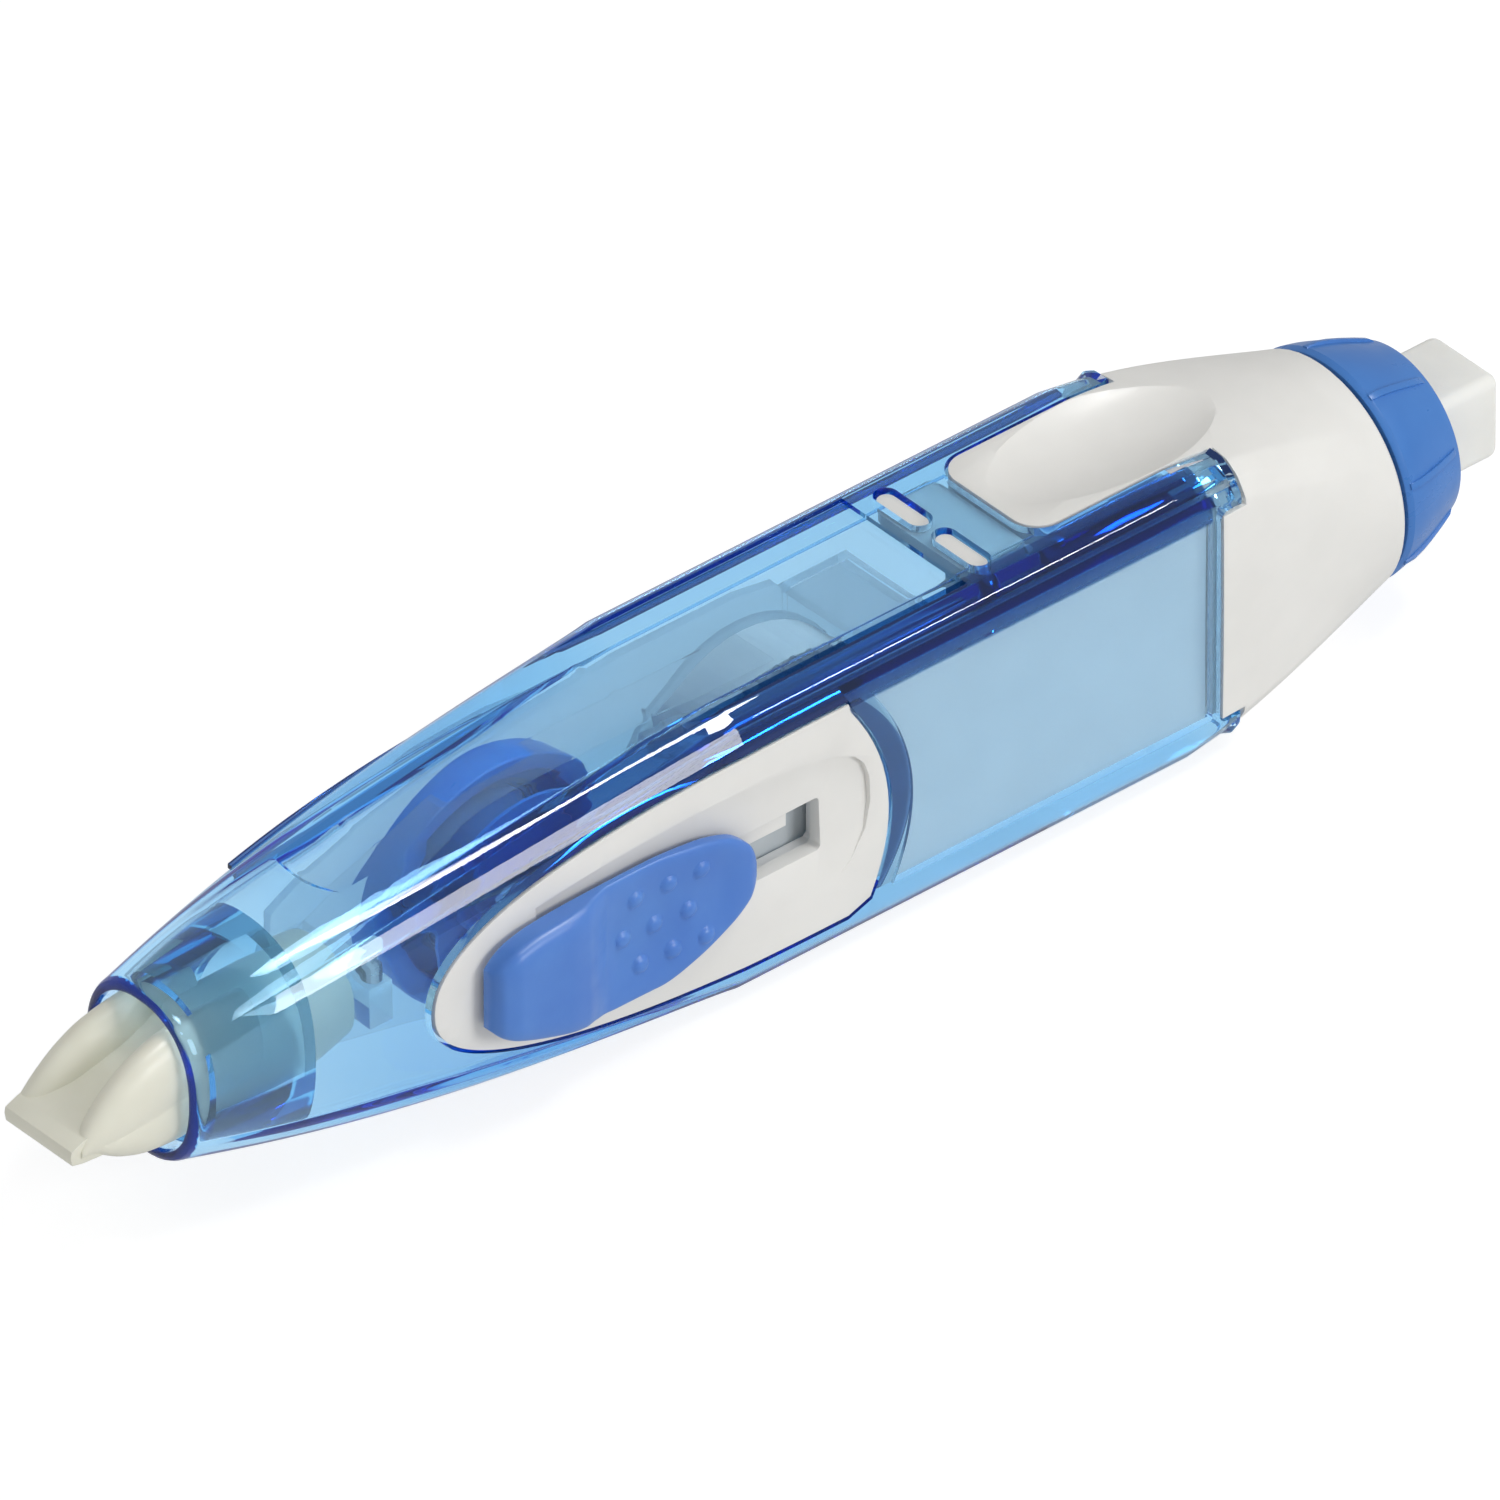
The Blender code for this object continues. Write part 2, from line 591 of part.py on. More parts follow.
def make_supply_reel():
    pivot = (SUPPLY_X, 0, 0)
    centre = (SUPPLY_X, 0)
    teeth = slab(gear_outline(SUPPLY_X, SUPPLY_TEETH, 2.2, 0.5), "XZ", *GEAR_LAYER)
    gear = add_piece("supply_gear", teeth, CLEAR, pivot)
    combine(gear, "UNION", add_piece("add_supply_hub", ring(3.2, 2.2, -3.0, 2.6, 24, "Y", centre)))
    tape = ring(ROLL_RADIUS, 3.5, -TAPE_HALF, TAPE_HALF, 40, "Y", centre)
    add_piece("correction_tape_roll", tape, TAPE_WHITE, pivot)
    add_piece("supply_flange", ring(9.6, 2.2, 2.9, 3.4, 36, "Y", centre), CLEAR, pivot)
    add_piece("slip_clutch_disc", ring(4.4, 2.2, 3.7, 4.3, 28, "Y", centre), GREY, pivot)
    add_piece("clutch_wave_washer", ring(3.6, 2.2, 4.6, 5.0, 24, "Y", centre), STEEL, pivot)


def make_takeup_reel():
    pivot = (TAKEUP_X, 0, 0)
    centre = (TAKEUP_X, 0)
    rim = REEL_FLANGE_RADIUS
    profile = [(1.7, 3.2), (rim, 3.2), (rim, 2.7), (5.8, 2.7)]
    profile += [(5.8, -2.45), (rim, -2.45), (rim, -2.75), (1.7, -2.75)]
    reel = add_piece("takeup_reel", turned(profile, 40, "Y", centre), BLUE, pivot)
    gear = slab(gear_outline(TAKEUP_X, TAKEUP_TEETH, 1.7, 0.0), "XZ", GEAR_LAYER[0], -2.6)
    combine(reel, "UNION", add_piece("add_takeup_gear", gear))
    add_piece("spent_tape_roll", ring(SPENT_RADIUS, 6.1, -2.2, 2.45, 36, "Y", centre), FILM, pivot)


def make_idler():
    teeth = slab(gear_outline(IDLER_X, IDLER_TEETH, 1.2, 0.0), "XZ", *GEAR_LAYER)
    add_piece("idler_gear", teeth, CLEAR, (IDLER_X, 0, 0))


def head_section(x, wide, low, high, count=20):
    """A superellipse ring between low and high, as (y, z) points."""
    middle = (low + high) / 2
    tall = (high - low) / 2
    points = []
    for i in range(count):
        angle = 2 * math.pi * i / count
        c, s = math.cos(angle), math.sin(angle)
        y = wide * math.copysign(abs(c) ** 0.87, c)
        z = middle + tall * math.copysign(abs(s) ** 0.87, s)
        points.append((y, z))
    return (x, points)


HEAD_SECTIONS = (
    (1.9, 4.0, -1.9, 0.4),
    (3.2, 4.35, -3.0, 1.4),
    (5.2, 4.6, -4.3, 2.6),
    (7.6, 4.7, -5.2, 3.9),
    (10.5, 4.7, -5.6, 4.8),
    (14.0, 4.7, -5.6, 5.2),
    (22.0, 4.7, -5.2, 5.2),
    (26.7, 4.2, -4.2, 4.4),
)


def make_head():
    """Two domed cheeks with a tape channel between them, running out to a blade."""
    head = add_piece("applicator_head", loft([head_section(*s) for s in HEAD_SECTIONS]), HEAD_WHITE)
    channel_top = [(-2, -1.45), (0, -1.0), (10, 1.2), (28, 2.2), (28, 9), (-2, 9)]
    channel_bottom = [(-2, -1.05), (0.4, -1.5), (10, -3.4), (28, -3.6), (28, -9), (-2, -9)]
    half = 2.9
    blade = [(0.35, -0.95), (1.2, -0.72), (8.0, 0.5), (8.0, -2.6), (1.2, -1.7), (0.35, -1.45)]
    flange = [(0.45, -1.75), (0.2, -1.2), (0.45, -0.62), (1.9, 0.3), (6.0, 1.5)]
    flange += [(6.0, -2.3), (2.0, -2.3)]
    cheeks = add_piece("cut_channel_top", slab([channel_top], "XZ", -half, half))
    under = add_piece("cut_channel_bottom", slab([channel_bottom], "XZ", -half, half))
    combine(head, "DIFFERENCE", cheeks, under)
    combine(head, "UNION", add_piece("add_blade", slab([blade], "XZ", -3.6, 3.6)))
    for side in (-1, 1):
        low, high = sorted((side * 3.1, side * 4.6))
        combine(head, "UNION", add_piece(f"add_tip_flange_{side}", slab([flange], "XZ", low, high)))


def ribbon(path, thickness=0.16):
    """A strip of tape that follows a path of (x, z) points."""
    upper, lower = [], []
    for i, (x, z) in enumerate(path):
        before = Vector(path[max(0, i - 1)])
        after = Vector(path[min(len(path) - 1, i + 1)])
        along = (after - before).normalized()
        side = Vector((-along.y, along.x)) * thickness / 2
        upper.append((x + side.x, z + side.y))
        lower.append((x - side.x, z - side.y))
    return slab([upper + lower[::-1]], "XZ", -TAPE_HALF + 0.3, TAPE_HALF - 0.2)


def make_tape_strands():
    fresh = [(69.0, 9.6), (56.0, 9.75), (42.0, 9.5), (39.0, 8.9), (26.0, 3.0), (23.0, 2.4)]
    fresh += [(10.0, 1.5), (0.9, -0.5), (0.25, -0.75), (0.09, -1.2), (0.25, -1.65)]
    spent = [(0.75, -1.9), (10.0, -3.75), (24.0, -4.0), (27.0, -4.3), (41.5, -7.1)]
    add_piece("fresh_tape_strand", ribbon(fresh), TAPE_WHITE)
    add_piece("spent_tape_strand", ribbon(spent), FILM)


def make_head_pin():
    pin = bmesh.new()
    place = Matrix.Translation((28.9, -3.6, 2.3))
    bmesh.ops.create_cone(pin, cap_ends=True, segments=16, radius1=0.8, radius2=0.8, depth=2.0, matrix=place)
    add_piece("head_locking_pin", pin, STEEL)


def make_slide_button():
    """A thumb button: a raised block at the front, a dip, and a dished pad behind it."""
    pivot = (47.5, -BUTTON_BASE, 0)
    upper = [(34.5, 0), (34.6, 3.4), (35.3, 4.7), (36.6, 5.3), (43.0, 5.45), (50.0, 5.45)]
    upper += [(54.5, 5.15), (57.6, 4.3), (59.6, 2.8), (60.5, 1.1)]
    outline = upper + [(x, -z) for x, z in upper[:0:-1]]
    button = add_piece("slide_button", slab([outline], "XZ", -13, -BUTTON_BASE), BUTTON_BLUE, pivot)
    profile = [(34.0, -8.5), (61.0, -8.5), (61.0, -10.2), (59.6, -10.7), (57.5, -11.1)]
    profile += [(54.5, -11.2), (50.5, -10.95), (47.5, -10.9), (46.0, -11.1), (44.8, -11.55)]
    profile += [(43.0, -11.7), (38.0, -11.65), (36.0, -11.4), (34.0, -10.6)]
    combine(button, "INTERSECT", add_piece("cut_button_profile", slab([profile], "XY", -8, 8)))


def make_button_carriage():
    pivot = (53.2, -6.1, 0)
    shoe = add_piece("button_carriage", box((44.0, -6.7, -3.4), (66.0, -5.5, 3.4)), GREY, pivot)
    stem = box((50.0, GAP - BUTTON_BASE, -1.95), (56.5, -6.0, 1.95))
    combine(shoe, "UNION", add_piece("add_carriage_stem", stem))


def make_detent_spring():
    upper = []
    steps = 8
    for i in range(steps + 1):
        x = 47.0 + 16.0 * i / steps
        upper.append((x, -3.75 - 1.7 * math.sin(math.pi * i / steps)))
    loop = upper + [(x, z - 0.45) for x, z in upper[::-1]]
    add_piece("detent_spring", slab([loop], "XZ", -6.6, -5.6), STEEL)


clear_scene()
PARTS = new_collection("correction_tape_roller")
CUTTERS = new_collection("cutters", hidden=True)

CLEAR_BLUE = new_material("clear_blue", (0.05, 0.22, 0.78), 0.05, clear=0.9)
CLEAR = new_material("clear_plastic", (0.75, 0.83, 0.87), 0.1, clear=0.8)
WHITE = new_material("white_shell", (0.79, 0.79, 0.76), 0.35)
BLUE = new_material("blue_plastic", (0.07, 0.18, 0.57), 0.35)
BUTTON_BLUE = new_material("button_blue", (0.10, 0.25, 0.66), 0.4)
HEAD_WHITE = new_material("head_white", (0.64, 0.64, 0.55), 0.35)
TAPE_WHITE = new_material("tape_white", (0.86, 0.86, 0.83), 0.6)
FILM = new_material("backing_film", (0.65, 0.62, 0.50), 0.3)
GREY = new_material("light_grey", (0.60, 0.63, 0.65), 0.4)
STEEL = new_material("spring_steel", (0.55, 0.55, 0.56), 0.3, metallic=1.0)
RUBBER_WHITE = new_material("eraser_white", (0.75, 0.75, 0.72), 0.7)

make_cover()
make_nose_collar()
make_slide_panel()
make_side_chassis()
make_rear_housing()
make_latch_tongue()
make_bearing_ring()
make_eraser_guide()
make_knob()
make_spiral_sleeve()
make_eraser_carrier()
make_eraser()
make_cartridge_frame()
make_cartridge_lid()
make_backstop_pawl()
make_supply_reel()
make_takeup_reel()
make_idler()
make_head()
make_head_pin()
make_tape_strands()
make_slide_button()
make_button_carriage()
make_detent_spring()
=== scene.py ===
"""The looks of the correction tape roller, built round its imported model.

Shapes are drawn in millimetres on the body's own axis, as the model is: x runs from the tape tip (0) to
the tail, the slide button is on the -y side, and z is measured from the axis.
"""

import math

import bmesh
import bpy
from mathutils import Matrix, Vector


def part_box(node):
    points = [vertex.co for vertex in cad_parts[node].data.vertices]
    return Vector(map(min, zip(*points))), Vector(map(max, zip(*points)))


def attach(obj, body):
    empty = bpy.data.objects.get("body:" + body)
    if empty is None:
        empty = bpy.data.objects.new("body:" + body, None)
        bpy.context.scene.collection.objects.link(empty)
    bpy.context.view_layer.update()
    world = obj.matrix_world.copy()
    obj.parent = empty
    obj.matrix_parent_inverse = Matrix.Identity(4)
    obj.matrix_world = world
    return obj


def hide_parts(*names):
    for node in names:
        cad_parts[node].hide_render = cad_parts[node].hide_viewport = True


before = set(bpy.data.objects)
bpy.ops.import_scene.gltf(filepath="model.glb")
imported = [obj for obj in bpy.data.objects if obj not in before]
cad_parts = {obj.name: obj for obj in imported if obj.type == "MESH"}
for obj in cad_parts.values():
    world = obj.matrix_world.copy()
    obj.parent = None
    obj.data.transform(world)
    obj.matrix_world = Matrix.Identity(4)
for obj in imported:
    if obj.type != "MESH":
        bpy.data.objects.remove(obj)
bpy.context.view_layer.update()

MM = 0.001

# Driving dimensions, in millimetres: from the frame where it gives them, and otherwise matched to the
# photograph by measuring it

RIM_X = 9.7
cover_low, cover_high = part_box("outer_cover")
ORIGIN = Vector((cover_low.x - RIM_X * MM, 0.0, (cover_low.z + cover_high.z) / 2))
HALF_WIDTH = (cover_high.y - cover_low.y) / 2 / MM
HALF_HEIGHT = (cover_high.z - cover_low.z) / 2 / MM
COVER_END = (cover_high.x - ORIGIN.x) / MM
KNOB_START, KNOB_END = ((corner.x - ORIGIN.x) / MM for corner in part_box("twist_knob"))
ERASER_START, ERASER_END = ((corner.x - ORIGIN.x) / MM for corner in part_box("eraser_block"))
HOUSING_END = KNOB_START - 0.4
TAIL_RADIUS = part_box("rear_housing")[1].y / MM
FLAT_START = 60.0
FLAT_END = 104.0
NOSE_WALL = 0.9
COVER_WALL = 1.3
SADDLE_FRONT = 91.4
SADDLE_HALF = 5.5
GAP = 0.3
NECK_INSET = 2.7
SEAT_INSET = 1.75
LATCH_X = 86.3
LATCH_OFFSET = 3.3
LATCH_SLOT_HALF_LENGTH = 2.85
LATCH_SLOT_HALF_WIDTH = 1.0
PANEL_START = 30.5
PANEL_REAR = 73.8
PANEL_HALF_HEIGHT = 9.6
PANEL_BACK = 8.1
BUTTON_BASE = 9.7
LABEL_FACE = 8.8
ARCH_WIDTH = 2.3
TAKEUP_X = 44.5
TAKEUP_RIM_RADIUS = 10.3
TAKEUP_RIM_BORE = 8.5
TAKEUP_RIM_LEVELS = (0.4, 3.6)
TAKEUP_BORE_LEVELS = (0.0, 2.9)
WINDOW_DEPTH = 0.42
COLLAR_BORE_HALF_WIDTH = 4.95
COLLAR_BORE_HALF_HEIGHT = 5.95
ERASER_EXTRA = 0.8
ERASER_ROUNDING = 0.95
SOCKET_RADIUS = 1.45
SOCKET_START, SOCKET_END = 100.0, 108.4
DISH_CENTRE_X = 104.0
DISH_LIFT = 5.0
DISH_RADII = (18.0, 8.3, 6.6)
KNOB_RIDGES = 8
FIRST_RIDGE_ANGLE = 27.5


# Mesh helpers


def eased(points, x):
    """The height at x of a smooth curve through points given in order of x."""
    if x <= points[0][0]:
        return points[0][1]
    if x >= points[-1][0]:
        return points[-1][1]
    k = max(i for i, point in enumerate(points) if point[0] <= x)
    (x0, y0), (x1, y1) = points[k], points[k + 1]

    def slope(i):
        before, after = points[max(0, i - 1)], points[min(len(points) - 1, i + 1)]
        left = (points[i][1] - before[1]) / max(1e-6, points[i][0] - before[0])
        right = (after[1] - points[i][1]) / max(1e-6, after[0] - points[i][0])
        if i in (0, len(points) - 1):
            return left + right
        return 0.0 if left * right <= 0 else 2 * left * right / (left + right)

    width = x1 - x0
    t = (x - x0) / width
    value = (1 + 2 * t) * (1 - t) ** 2 * y0 + t * t * (3 - 2 * t) * y1
    return value + width * (t * (1 - t) ** 2 * slope(k) - t * t * (1 - t) * slope(k + 1))


def smoothstep(low, high, x):
    t = min(1.0, max(0.0, (x - low) / (high - low)))
    return t * t * (3 - 2 * t)


def span(low, high, count):
    return [low + (high - low) * i / (count - 1) for i in range(count)]


def bridged(loops, capped=True, closed=False):
    """A skin through loops of (x, y, z) points. It ends in flat caps, or closes on itself."""
    bm = bmesh.new()
    rows = [[bm.verts.new(point) for point in loop] for loop in loops]
    pairs = list(zip(rows, rows[1:]))
    if closed:
        pairs.append((rows[-1], rows[0]))
    for first, second in pairs:
        for i in range(len(first)):
            j = (i + 1) % len(first)
            bm.faces.new((first[i], first[j], second[j], second[i]))
    if capped and not closed:
        bm.faces.new(rows[0])
        bm.faces.new(rows[-1])
    bmesh.ops.recalc_face_normals(bm, faces=bm.faces)
    return bm


def prism(loop, plane, low, high):
    """A flat outline extruded from low to high along the plane's normal."""
    place = {
        "XY": lambda u, v, w: (u, v, w),
        "XZ": lambda u, v, w: (u, w, v),
        "YZ": lambda u, v, w: (w, u, v),
    }[plane]
    return bridged([[place(u, v, w) for u, v in loop] for w in (low, high)])


def turned(profile, steps=96):
    """A closed profile of (radius, x) points turned about the body's axis."""
    loops = []
    for i in range(steps):
        angle = 2 * math.pi * i / steps
        loops.append([(x, r * math.cos(angle), r * math.sin(angle)) for r, x in profile])
    return bridged(loops, closed=True)


def box(low, high):
    bm = bmesh.new()
    size = [b - a for a, b in zip(low, high)]
    middle = [(a + b) / 2 for a, b in zip(low, high)]
    bmesh.ops.create_cube(bm, size=1.0, matrix=Matrix.Translation(middle) @ Matrix.Diagonal((*size, 1.0)))
    return bm


def rounded_outline(x0, x1, y0, y1, radius, steps=10):
    """A rectangle with round corners, as (x, y) points."""
    loop = []
    for x, y, start in ((x1, y1, 0), (x0, y1, 90), (x0, y0, 180), (x1, y0, 270)):
        cx = x - radius if x == x1 else x + radius
        cy = y - radius if y == y1 else y + radius
        for i in range(steps + 1):
            angle = math.radians(start + 90 * i / steps)
            loop.append((cx + radius * math.cos(angle), cy + radius * math.sin(angle)))
    return loop


def temporary(bm):
    """A linked object that holds the shape while a modifier works on it."""
    mesh = bpy.data.meshes.new("shape")
    bm.to_mesh(mesh)
    bm.free()
    obj = bpy.data.objects.new("shape", mesh)
    bpy.context.scene.collection.objects.link(obj)
    return obj


def combined(bm, *steps, bevel=None):
    """The mesh after a chain of (operation, other mesh) Booleans and an optional edge rounding."""
    base = temporary(bm)
    helpers = []
    for operation, other in steps:
        helper = temporary(other)
        helpers.append(helper)
        modifier = base.modifiers.new("step", "BOOLEAN")
        modifier.operation = operation
        modifier.solver = "EXACT"
        modifier.object = helper
    if bevel:
        modifier = base.modifiers.new("round", "BEVEL")
        modifier.width, modifier.segments, degrees = bevel
        modifier.limit_method = "ANGLE"
        modifier.angle_limit = math.radians(degrees)
        modifier.use_clamp_overlap = True
    bpy.context.view_layer.update()
    graph = bpy.context.evaluated_depsgraph_get()
    mesh = bpy.data.meshes.new_from_object(base.evaluated_get(graph), depsgraph=graph)
    result = bmesh.new()
    result.from_mesh(mesh)
    bpy.data.meshes.remove(mesh)
    for obj in (base, *helpers):
        data = obj.data
        bpy.data.objects.remove(obj, do_unlink=True)
        bpy.data.meshes.remove(data)
    return result


def piece(name, bm, material, slot, body, *nodes, sharp=28):
    """A finished piece in the frame's coordinates, riding on its body in place of the CAD nodes."""
    bm.transform(Matrix.Translation(ORIGIN) @ Matrix.Scale(MM, 4))
    mesh = bpy.data.meshes.new(name)
    bm.to_mesh(mesh)
    bm.free()
    mesh.materials.append(material)
    mesh.shade_smooth()
    mesh.set_sharp_from_angle(angle=math.radians(sharp))
    obj = bpy.data.objects.new(name, mesh)
    bpy.context.scene.collection.objects.link(obj)
    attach(obj, body)
    if nodes:
        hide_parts(*nodes)
    return obj


# Materials


def srgb(red, green, blue):
    def linear(value):
        share = value / 255
        return share / 12.92 if share <= 0.04045 else ((share + 0.055) / 1.055) ** 2.4

    return (linear(red), linear(green), linear(blue), 1.0)


def noise(nodes, links, coordinates, size_mm, detail=3.0, stretch=(1.0, 1.0, 1.0)):
    """A noise whose features are about size_mm across, as its factor output."""
    mapping = nodes.new("ShaderNodeMapping")
    mapping.inputs["Scale"].default_value = [share / (size_mm * MM) for share in stretch]
    texture = nodes.new("ShaderNodeTexNoise")
    texture.inputs["Scale"].default_value = 1.0
    texture.inputs["Detail"].default_value = detail
    links.new(coordinates.outputs["Object"], mapping.inputs["Vector"])
    links.new(mapping.outputs["Vector"], texture.inputs["Vector"])
    return texture.outputs["Fac"]


def new_surface(name):
    material = bpy.data.materials.new(name)
    material.use_nodes = True
    nodes, links = material.node_tree.nodes, material.node_tree.links
    shader = nodes["Principled BSDF"]
    return material, nodes, links, shader, nodes.new("ShaderNodeTexCoord")


def vary_roughness(nodes, links, shader, factor, low, high):
    spread = nodes.new("ShaderNodeMapRange")
    spread.inputs["From Min"].default_value = 0.3
    spread.inputs["From Max"].default_value = 0.7
    spread.inputs["To Min"].default_value = low
    spread.inputs["To Max"].default_value = high
    links.new(factor, spread.inputs["Value"])
    links.new(spread.outputs["Result"], shader.inputs["Roughness"])


def add_bump(nodes, links, shader, factor, depth_mm, strength):
    bump = nodes.new("ShaderNodeBump")
    bump.inputs["Distance"].default_value = depth_mm * MM
    bump.inputs["Strength"].default_value = strength
    links.new(factor, bump.inputs["Height"])
    links.new(bump.outputs["Normal"], shader.inputs["Normal"])


def plastic(name, light, dark, roughness, grain_mm=0.25, grain_depth=0.006, soft=0.0, coat=0.0):
    """Moulded plastic: slow colour mottling, moulding grain in the bump, and scuffed roughness."""
    material, nodes, links, shader, coordinates = new_surface(name)
    tint = nodes.new("ShaderNodeValToRGB")
    tint.color_ramp.elements[0].position = 0.35
    tint.color_ramp.elements[0].color = dark
    tint.color_ramp.elements[1].position = 0.65
    tint.color_ramp.elements[1].color = light
    links.new(noise(nodes, links, coordinates, 6.0, 4.0), tint.inputs["Fac"])
    links.new(tint.outputs["Color"], shader.inputs["Base Color"])
    scuffs = noise(nodes, links, coordinates, 1.6, 5.0, (0.4, 1.0, 1.0))
    vary_roughness(nodes, links, shader, scuffs, roughness - 0.05, roughness + 0.07)
    add_bump(nodes, links, shader, noise(nodes, links, coordinates, grain_mm, 2.0), grain_depth, 0.5)
    shader.inputs["Subsurface Weight"].default_value = soft
    shader.inputs["Subsurface Radius"].default_value = (1.0, 0.9, 0.8)
    shader.inputs["Subsurface Scale"].default_value = 1.2 * MM
    shader.inputs["Coat Weight"].default_value = coat
    shader.inputs["Coat Roughness"].default_value = 0.12
    return material


def clear_plastic(name, color, density, ior, roughness, painted_glow=(0.0, 0.0, 0.0), milk=0.0, depth_mm=0.01):
    """Transparent moulded plastic, coloured by its thickness, with slow ripples in its skin.

    The emission colour it takes is a painted glow, a faint emission that stands for the light which the
    pigment scatters back, and milk is the share of the surface that is frosted white.
    """
    material, nodes, links, shader, coordinates = new_surface(name)
    shader.inputs["Base Color"].default_value = (1.0 - 0.1 * milk, 1.0 - 0.04 * milk, 1.0, 1.0)
    shader.inputs["Transmission Weight"].default_value = 1.0 - milk
    shader.inputs["IOR"].default_value = ior
    # A painted glow: faint emission standing for the light that the pigment scatters back.
    shader.inputs["Emission Color"].default_value = (*painted_glow, 1.0)
    shader.inputs["Emission Strength"].default_value = 1.0
    scuffs = noise(nodes, links, coordinates, 2.5, 6.0, (0.3, 1.0, 1.0))
    vary_roughness(nodes, links, shader, scuffs, roughness, roughness + 0.02)
    ripples = noise(nodes, links, coordinates, 4.0, 1.0, (0.5, 1.0, 1.0))
    add_bump(nodes, links, shader, ripples, depth_mm, 0.3)
    absorption = nodes.new("ShaderNodeVolumeAbsorption")
    absorption.inputs["Color"].default_value = color
    absorption.inputs["Density"].default_value = density
    links.new(absorption.outputs["Volume"], nodes["Material Output"].inputs["Volume"])
    return material


def metal(name, color, roughness):
    material, nodes, links, shader, coordinates = new_surface(name)
    shader.inputs["Base Color"].default_value = color
    shader.inputs["Metallic"].default_value = 1.0
    brushed = noise(nodes, links, coordinates, 0.3, 3.0, (0.1, 1.0, 1.0))
    vary_roughness(nodes, links, shader, brushed, roughness, roughness + 0.15)
    add_bump(nodes, links, shader, brushed, 0.004, 0.4)
    return material


# The last colour given to each of the next four is a painted glow, a faint emission.
TINTED = clear_plastic("tinted_cover", (0.06, 0.65, 0.93, 1.0), 400.0, 1.53, 0.0, (0.0, 0.004, 0.014))
COLLAR = clear_plastic("tinted_collar", (0.10, 0.72, 0.93, 1.0), 240.0, 1.53, 0.0, (0.0, 0.005, 0.010))
# The next two are near-opaque navy tints for the strips of painted shade in the corners of the cover and the
# collar and beside the slide panel's rear edge.
PAINTED_SHADE_DEEP = clear_plastic("painted_shade_deep", (0.02, 0.34, 0.66, 1.0), 6500.0, 1.53, 0.02, (0.001, 0.005, 0.014))
PAINTED_SHADE_INLAY = clear_plastic("painted_shade_corner", (0.03, 0.40, 0.70, 1.0), 4800.0, 1.01, 0.0, (0.0, 0.003, 0.006))
CLEAR = clear_plastic("clear_parts", (0.45, 0.8, 0.92, 1.0), 60.0, 1.12, 0.1, milk=0.22)
CLEAR_FILM = clear_plastic("tape_film", (0.9, 0.95, 0.95, 1.0), 10.0, 1.05, 0.1, milk=0.1)
WHITE = plastic("white_shell", srgb(238, 237, 233), srgb(234, 233, 229), 0.34, soft=0.1)
BLUE = plastic("knob_blue", srgb(66, 127, 203), srgb(62, 121, 197), 0.30)
REEL_BLUE = plastic("reel_blue", srgb(84, 160, 250), srgb(70, 146, 246), 0.32, soft=0.15)
BUTTON = plastic("button_blue", srgb(84, 136, 214), srgb(76, 127, 208), 0.36, 0.35, 0.01, soft=0.25)
HEAD = plastic("head_white", srgb(236, 235, 220), srgb(231, 230, 214), 0.34, soft=0.2)
TAPE = plastic("tape_white", srgb(250, 250, 248), srgb(244, 245, 243), 0.6, 0.15, 0.01)
LINER = plastic("liner_white", srgb(250, 250, 249), srgb(246, 246, 245), 0.45, 0.15, 0.01)
GREY = plastic("light_grey", srgb(206, 213, 217), srgb(199, 207, 212), 0.38, soft=0.1)
RUBBER = plastic("eraser_white", srgb(241, 241, 236), srgb(235, 235, 230), 0.75, 0.12, 0.02, soft=0.3)
STEEL = metal("spring_steel", (0.55, 0.55, 0.56, 1.0), 0.25)

KEPT_NODES = {
    "side_chassis": LINER,
    "latch_tongue": WHITE,
    "knob_bearing_ring": WHITE,
    "eraser_guide": GREY,
    "spiral_sleeve": GREY,
    "eraser_carrier": GREY,
    "cartridge_frame": CLEAR,
    "cartridge_lid": CLEAR,
    "backstop_pawl": CLEAR,
    "supply_gear": CLEAR,
    "supply_flange": CLEAR,
    "idler_gear": CLEAR,
    "correction_tape_roll": TAPE,
    "slip_clutch_disc": GREY,
    "clutch_wave_washer": STEEL,
    "takeup_reel": REEL_BLUE,
    "spent_tape_roll": CLEAR_FILM,
    "fresh_tape_strand": CLEAR_FILM,
    "spent_tape_strand": CLEAR_FILM,
    "head_locking_pin": STEEL,
    "detent_spring": STEEL,
}


# The body's section


def half_width(x):
    nose = max(0.0, (FLAT_START - x) / 50)
    tail = max(0.0, (x - FLAT_END) / (HOUSING_END - FLAT_END))
    return HALF_WIDTH - 3.2 * nose**3.2 + (TAIL_RADIUS - HALF_WIDTH) * tail


def half_height(x):
    nose = max(0.0, (FLAT_START - x) / 50)
    tail = max(0.0, (x - FLAT_END) / (HOUSING_END - FLAT_END))
    return HALF_HEIGHT - 5.6 * nose**2.35 - (HALF_HEIGHT - TAIL_RADIUS) * tail**1.9


def oval_share(x):
    nose = max(0.0, (FLAT_START - x) / 50)
    tail = max(0.0, (x - FLAT_END) / (HOUSING_END - FLAT_END))
    return min(1.0, nose**0.8 + tail**1.3)


OVAL_ANGLES = (90, 76, 62, 49, 40, 31, 20, 10, 0)
POCKET_HALF = 5.0
POCKET_STEP = 0.4
QUARTER_STEPS = (0, 0.5, 1, 1.5, 2, 2.4, 2.7, 2.85, 2.93, 3, 3.07, 3.15, 3.3, 3.5, 3.7, 3.85, 3.93, 4, 4.07)
QUARTER_STEPS += (4.15, 4.3, 4.5, 4.7, 4.85, 4.93, 5, 5.07, 5.15, 5.3, 5.6, 6, 6.5, 7, 7.5, 8)


def along(values, t):
    """The value at place t on a list, between its entries."""
    k = min(len(values) - 2, int(t))
    return values[k] + (values[k + 1] - values[k]) * (t - k)


